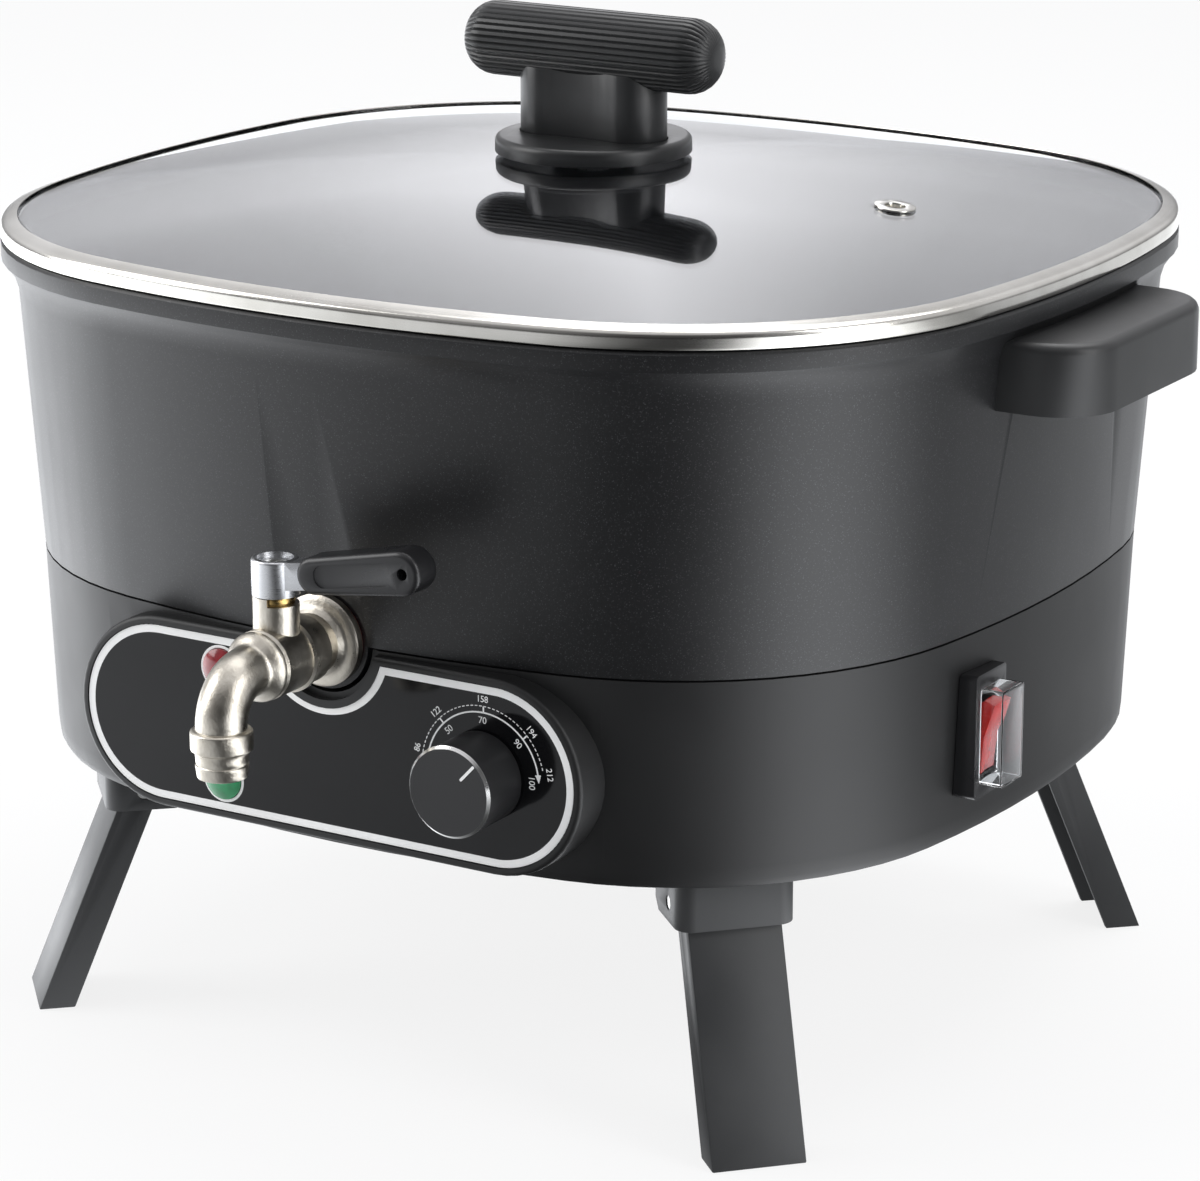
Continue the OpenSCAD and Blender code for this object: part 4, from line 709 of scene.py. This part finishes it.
def makeLidRim():
    points = [(inset, lidRim["z"] + z) for inset, z in lidRim["section"]]
    piece = drawProfile("lidSteelRim", points, True)
    sweepOutline(piece)
    smooth(piece, angle=50)
    place(piece, "lidSteelRim", "lid", finish["steel"], ["lid_rim"])


makeLidGlass()
makeLidRim()
print("lid glass and rim made")


# knob grip: a turned bar whose grooves close in over its round ends

knobGrip = {
    "length": 84.0, "radius": 11.0, "endRadius": 9.0, "endSteps": 7, "grooves": 36, "depth": 0.55,
    "sidesPerGroove": 4, "grooveShare": 0.1,
}


def makeKnobGrip():
    values = knobGrip
    low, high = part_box("knob_grip")
    axis = Vector((0, axisY * mm, (low.z + high.z) / 2))
    straight = values["length"] - 2 * values["endRadius"]
    piece = cylinder(values["radius"], straight, axis, values["grooves"] * values["sidesPerGroove"],
                     (0, math.pi / 2, 0))
    for side in (-1, 1):
        choose(piece, "FACE", lambda normal: normal.x * side > facing)
        radius, reach = values["radius"], 0.0
        for step in range(1, values["endSteps"] + 1):
            turn = math.pi / 2 * step / values["endSteps"]
            nextRadius = values["radius"] - values["endRadius"] * (1 - math.cos(turn))
            nextReach = values["endRadius"] * math.sin(turn)
            bpy.ops.mesh.extrude_region_move(
                TRANSFORM_OT_translate={"value": (side * (nextReach - reach) * mm, 0, 0)})
            bpy.ops.transform.resize(value=(1, nextRadius / radius, nextRadius / radius),
                                     center_override=axis)
            radius, reach = nextRadius, nextReach
    pitch = 2 * math.pi / values["grooves"]

    def inGroove(corner):
        turn = math.atan2(corner.z - axis.z, corner.y - axis.y)
        return abs((turn + pitch / 2) % pitch - pitch / 2) < pitch * values["grooveShare"]

    choose(piece, "VERT", inGroove)
    shrink = 1 - values["depth"] / values["radius"]
    bpy.ops.transform.resize(value=(1, shrink, shrink), center_override=axis)
    smooth(piece, angle=50)
    place(piece, "knobGripBar", "lid", finish["bakelite"], ["knob_grip"])


makeKnobGrip()
print("knob grip made")


# printing on the panel

panel = {
    "z": panelZ, "faceY": -143.5, "radius": 25.55, "halfLength": 55.7, "line": 2.2,
    "notchZ": 139.0, "notchRadius": 19.95, "proud": 0.06, "bury": 0.4, "sides": 98,
    "lampX": -34.4, "lampPitch": 16.2, "ringInner": 6.05, "ringOuter": 6.85, "ringBury": 0.3,
    "ringSides": 72, "cut": 6.0, "deepCut": 12.0, "cutStretch": 8, "cutSides": 96,
}


def panelDisc(x, z, radius, bury, sides):
    # a thin disc let into the panel's face, standing a little proud of it
    proud = panel["proud"]
    return cylinder(radius, proud + bury, spot(x, panel["faceY"] + (bury - proud) / 2, z), sides)


def stadium(radius):
    # a disc whose right half is drawn out along X
    values = panel
    half = values["halfLength"]
    piece = panelDisc(-half, values["z"], radius, values["bury"], values["sides"])
    choose(piece, "VERT", lambda corner: corner.x > -half * mm)
    bpy.ops.transform.translate(value=(2 * half * mm, 0, 0))
    letGo()
    return piece


def rod(x, z, radius, deep=panel["cut"], sides=panel["cutSides"]):
    # a cylinder through the panel's face, to cut with
    return cylinder(radius, deep, spot(x, panel["faceY"], z), sides)


def makePanelLine():
    values = panel
    outer = stadium(values["radius"])
    cutAway(outer, rod(0, values["notchZ"], values["notchRadius"]))
    inner = stadium(values["radius"] - values["line"])
    edit(inner)
    bpy.ops.mesh.select_all(action="SELECT")
    bpy.ops.transform.resize(value=(1, values["cutStretch"], 1),
                             center_override=spot(0, values["faceY"], 0))
    letGo()
    cutAway(inner, rod(0, values["notchZ"], values["notchRadius"] + values["line"], values["deepCut"]))
    cutAway(outer, inner)
    smooth(outer, angle=30)
    place(outer, "panelBorder", "base", finish["print"])


def printRing(name, x, z):
    values = panel
    piece = panelDisc(x, z, values["ringOuter"], values["ringBury"], values["ringSides"])
    cutAway(piece, rod(x, z, values["ringInner"], sides=values["ringSides"]))
    smooth(piece, angle=30)
    place(piece, name, "base", finish["print"])


makePanelLine()
for name, row in (("red", 1), ("amber", 0), ("green", -1)):
    printRing("lampRing." + name, panel["lampX"], panel["z"] + row * panel["lampPitch"])
print("panel border and lamp rings made")


# dial scale: arc, dashes, ticks and plain numbers; turns are degrees clockwise from the top

dial = {
    "x": dialX, "z": panelZ, "thick": 0.36,
    "arcRadius": 17.9, "arcLine": 0.45, "arcFrom": -100.0, "arcTo": 80.0, "arcSteps": 60,
    "dashRadius": 19.7, "dashLine": 0.25, "dashFrom": -84.0, "dashTo": 78.0, "dashes": 40,
    "dashShare": 0.6, "dashSteps": 3,
    "ticks": (-44.5, 1.0, 46.0), "tickHalf": 0.7, "tickOut": 1.0, "tickLine": 1.6,
    "tipBands": 5, "tipStep": 1.4, "tipTurn": 1.45, "tipLine": 1.7, "tipTaper": 0.34, "shortSteps": 2,
    "innerRadius": 15.6, "innerSize": 2.0,
    "inner": ((-44.0, "50"), (0.0, "70"), (46.0, "90"), (88.0, "100")),
    "outerRadius": 21.6, "outerSize": 1.9,
    "outer": ((-78.0, "86"), (-44.0, "122"), (0.0, "158"), (46.0, "194"), (80.0, "212")),
    "fontScale": 1.38, "letterGap": 0.95, "textHalf": 0.18, "curveSteps": 3,
}


def roundDial(turn, radius, y):
    # a place at this turn and radius from the dial's axis
    turn = math.radians(turn)
    return spot(dial["x"] + radius * math.sin(turn), y, dial["z"] + radius * math.cos(turn))


def arcBand(fromTurn, toTurn, radius, line, steps):
    # a short radial edge spun about the dial's axis, then given its thickness
    face = panel["faceY"] - panel["proud"]
    ends = [roundDial(fromTurn, r, face) for r in (radius - line / 2, radius + line / 2)]
    mesh = bpy.data.meshes.new("arc")
    mesh.from_pydata(ends, [(0, 1)], [])
    piece = bpy.data.objects.new("arc", mesh)
    bpy.context.collection.objects.link(piece)
    edit(piece, "VERT")
    bpy.ops.mesh.select_all(action="SELECT")
    bpy.ops.mesh.spin(steps=steps, angle=math.radians(fromTurn - toTurn),
                      center=roundDial(0, 0, face), axis=(0, 1, 0))
    bpy.ops.mesh.select_all(action="SELECT")
    bpy.ops.mesh.extrude_region_move(TRANSFORM_OT_translate={"value": (0, dial["thick"] * mm, 0)})
    tidyNormals(piece)
    return piece


def scaleText(words, turn, radius, size):
    values = dial
    face = panel["faceY"] - panel["proud"]
    bpy.ops.object.text_add(location=(0, 0, 0))
    piece = bpy.context.object
    piece.data.body = words
    piece.data.align_x = "CENTER"
    piece.data.align_y = "CENTER"
    piece.data.size = size * values["fontScale"] * mm
    piece.data.space_character = values["letterGap"]
    piece.data.extrude = values["textHalf"] * mm
    piece.data.resolution_u = values["curveSteps"]
    bpy.ops.object.convert(target="MESH")
    piece = bpy.context.object
    piece.rotation_euler = (math.pi / 2, math.radians(turn), 0)
    piece.location = roundDial(turn, radius, face + values["textHalf"])
    settle()
    return piece


def joinPieces(pieces):
    letGo()
    for piece in pieces:
        piece.select_set(True)
    bpy.context.view_layer.objects.active = pieces[0]
    bpy.ops.object.join()
    return bpy.context.object


def makeDialScale():
    values = dial
    made = [arcBand(values["arcFrom"], values["arcTo"], values["arcRadius"], values["arcLine"],
                    values["arcSteps"])]
    step = (values["dashTo"] - values["dashFrom"]) / values["dashes"]
    for number in range(values["dashes"]):
        start = values["dashFrom"] + number * step
        made.append(arcBand(start, start + step * values["dashShare"], values["dashRadius"],
                            values["dashLine"], values["dashSteps"]))
    for turn in values["ticks"]:
        made.append(arcBand(turn - values["tickHalf"], turn + values["tickHalf"],
                            values["arcRadius"] + values["tickOut"], values["tickLine"],
                            values["shortSteps"]))
    for tip in range(values["tipBands"]):
        # the arrow at the hot end, in bands that narrow
        start = values["arcTo"] + tip * values["tipStep"]
        made.append(arcBand(start, start + values["tipTurn"], values["arcRadius"],
                            values["tipLine"] - tip * values["tipTaper"], values["shortSteps"]))
    place(joinPieces(made), "dialScale", "base", finish["print"])
    words = [scaleText(text, turn, values[ring + "Radius"], values[ring + "Size"])
             for ring in ("inner", "outer") for turn, text in values[ring]]
    place(joinPieces(words), "dialNumbers", "base", finish["print"])


makeDialScale()
print("dial scale and numbers made")


# dial cap: turned black face, bright chamfer and a white pointer

dialCap = {
    "radius": 13.0, "faceY": -160.7, "thick": 1.6, "sides": 128, "chamfer": 0.75,
    "chamferNormal": (-0.95, -0.3), "rimReach": 0.1, "turn": 43.0, "pointerFrom": 5.6,
    "pointerTo": 12.0, "pointerWidth": 0.8, "pointerThick": 0.3, "pointerSink": 0.1,
    "pointerRound": 0.4, "pointerSteps": 3,
}


def makeDialCap():
    values = dialCap
    piece = cylinder(values["radius"], values["thick"],
                     spot(dial["x"], values["faceY"] + values["thick"] / 2, dial["z"]), values["sides"])
    choose(piece, "FACE", lambda normal: normal.y < -facing)
    bpy.ops.mesh.inset(thickness=values["chamfer"] * mm)
    front = spot(dial["x"], values["faceY"], dial["z"])
    rim = (values["radius"] - values["rimReach"]) * mm

    def onFrontRim(corner):
        return corner.y < front.y + hair and (corner - front).length > rim

    choose(piece, "VERT", onFrontRim)
    bpy.ops.transform.translate(value=(0, values["chamfer"] * mm, 0))
    smooth(piece, angle=30)
    place(piece, "dialCapFace", "dial", finish["dialBlack"], ["dial_cap"])
    piece.data.materials.append(finish["chamfer"])
    low, high = values["chamferNormal"]
    choose(piece, "FACE", lambda normal: low < normal.y < high)
    piece.active_material_index = 1
    bpy.ops.object.material_slot_assign()
    letGo()


def makePointer():
    # it lies in the turned face
    values = dialCap
    bpy.ops.mesh.primitive_cube_add(size=1, location=(0, 0, 0))
    pointer = bpy.context.object
    pointer.scale = (values["pointerWidth"] * mm, values["pointerThick"] * mm,
                     (values["pointerTo"] - values["pointerFrom"]) * mm)
    settle()
    choose(pointer, "EDGE", lambda edge: abs(edge.verts[0].co.y - edge.verts[1].co.y) > hair)
    bpy.ops.mesh.bevel(offset=values["pointerWidth"] * values["pointerRound"] * mm,
                       segments=values["pointerSteps"])
    hold(pointer)
    pointer.rotation_euler = (0, math.radians(values["turn"]), 0)
    pointer.location = roundDial(values["turn"], (values["pointerFrom"] + values["pointerTo"]) / 2,
                                 values["faceY"] + values["pointerSink"])
    settle()
    smooth(pointer, angle=30)
    place(pointer, "dialPointer", "dial", finish["print"])


makeDialCap()
makePointer()
print("dial cap and pointer made")


# floor, lights and camera

stage = {
    "floorSize": 24, "floorDrop": 0.1, "floorColour": (0.88, 0.88, 0.88, 1.0), "floorRoughness": 0.9,
    "floorShine": 0.1, "floorGlow": 0.84, "floorTint": (0.95, 0.97, 1.0, 1.0),
    "skyColour": (0.93, 0.95, 1.0, 1.0), "skyStrength": 0.55, "roomTint": (0.97, 0.97, 1.0, 1.0),
    "white": (1.0, 1.0, 1.0, 1.0), "lampAim": (0, 0.02, 0.15),
}


def mixBy(tree, share, first, second):
    # the shader that shows second where share is 1 and first where it is 0
    return wire(tree, "ShaderNodeMixShader", {0: share, 1: first, 2: second}).outputs[0]


def makeFloor():
    values = stage
    bpy.ops.mesh.primitive_plane_add(size=values["floorSize"], location=(0, 0, -values["floorDrop"] * mm))
    floor = bpy.context.object
    floor.name = "studioFloor"
    material = bpy.data.materials.new("paleFloor")
    material.use_nodes = True
    tree = material.node_tree
    shader = tree.nodes["Principled BSDF"]
    shader.inputs["Base Color"].default_value = values["floorColour"]
    shader.inputs["Roughness"].default_value = values["floorRoughness"]
    shader.inputs["Specular IOR Level"].default_value = values["floorShine"]
    glow = wire(tree, "ShaderNodeEmission", {"Color": values["white"], "Strength": 1.0})
    rays = wire(tree, "ShaderNodeLightPath")
    amount = maths(tree, "MULTIPLY", rays.outputs["Is Camera Ray"], values["floorGlow"])
    mixed = mixBy(tree, amount, shader.outputs[0], glow.outputs[0])
    # shiny pieces see the floor as light or dark as the studio beyond it
    where = wire(tree, "ShaderNodeTexCoord")
    room = useGroup(tree, "floorLevel", Vector=where.outputs["Object"])
    gain = maths(tree, "MULTIPLY", room.outputs["Level"], studioRoom["floorGain"])
    seen = wire(tree, "ShaderNodeEmission", {"Color": values["floorTint"], "Strength": gain})
    last = mixBy(tree, rays.outputs["Is Glossy Ray"], mixed, seen.outputs[0])
    tree.links.new(last, tree.nodes["Material Output"].inputs["Surface"])
    floor.data.materials.append(material)


def makeWorld():
    values = stage
    world = bpy.data.worlds.new("studio")
    bpy.context.scene.world = world
    world.use_nodes = True
    tree = world.node_tree
    background = tree.nodes["Background"]
    background.inputs["Color"].default_value = values["skyColour"]
    background.inputs["Strength"].default_value = values["skyStrength"]
    where = wire(tree, "ShaderNodeTexCoord")
    room = useGroup(tree, "roomLevel", Vector=where.outputs["Generated"])
    # low down the room goes round in light and dark, overhead it is an even white
    high = remap(tree, room.outputs["Height"], *studioRoom["highBand"], 0.0, 1.0)
    low = remap(tree, room.outputs["Height"], *studioRoom["lowBand"],
                studioRoom["lowShare"] * studioRoom["roomGain"], studioRoom["roomGain"])
    gain = maths(tree, "MULTIPLY", room.outputs["Level"], low)
    level = wire(tree, "ShaderNodeMix", {"Factor": high, "A": gain, "B": studioRoom["overhead"]},
                 data_type="FLOAT")
    mirror = wire(tree, "ShaderNodeBackground", {"Color": values["roomTint"],
                  "Strength": level.outputs[0]})
    white = wire(tree, "ShaderNodeBackground", {"Color": values["white"], "Strength": 1.0})
    rays = wire(tree, "ShaderNodeLightPath")
    first = mixBy(tree, rays.outputs["Is Glossy Ray"], background.outputs[0], mirror.outputs[0])
    seen = maths(tree, "MAXIMUM", rays.outputs["Is Camera Ray"], rays.outputs["Is Transmission Ray"])
    second = mixBy(tree, seen, first, white.outputs[0])
    tree.links.new(second, tree.nodes["World Output"].inputs["Surface"])


def addSoftbox(name, location, size, power):
    # place and size in metres, power in watts
    light = bpy.data.lights.new(name, "AREA")
    light.shape = "RECTANGLE"
    light.size, light.size_y = size
    light.energy = power
    lamp = bpy.data.objects.new(name, light)
    bpy.context.collection.objects.link(lamp)
    lamp.location = location
    aim = Vector(stage["lampAim"]) - Vector(location)
    lamp.rotation_euler = aim.to_track_quat("-Z", "Y").to_euler()


view = {
    "target": (2.2, 23.4, 116.8), "azimuth": 31.32, "elevation": 16.3, "distance": 1355.2,
    "lens": 134.57, "sensor": 36.0, "near": 0.01, "far": 60.0,
}


def makeCamera():
    turn, rise = math.radians(view["azimuth"]), math.radians(view["elevation"])
    back = Vector((math.sin(turn) * math.cos(rise), -math.cos(turn) * math.cos(rise), math.sin(rise)))
    target = Vector(view["target"]) * mm
    camera = bpy.data.objects.new("photoCamera", bpy.data.cameras.new("photoCamera"))
    bpy.context.collection.objects.link(camera)
    camera.data.lens = view["lens"]
    camera.data.sensor_width = view["sensor"]
    camera.data.clip_start = view["near"]
    camera.data.clip_end = view["far"]
    camera.location = target + back * view["distance"] * mm
    camera.rotation_euler = (-back).to_track_quat("-Z", "Y").to_euler()
    bpy.context.scene.camera = camera


makeFloor()
makeWorld()
addSoftbox("leftBox", (-1.6, -0.9, 1.1), (1.2, 1.6), 26)
addSoftbox("rightBox", (1.9, -0.2, 0.9), (0.7, 1.6), 16)
addSoftbox("topBox", (0.0, 0.7, 1.9), (1.8, 1.2), 22)
makeCamera()
bpy.context.scene.view_settings.view_transform = "Standard"
print("stage, lights and camera set")
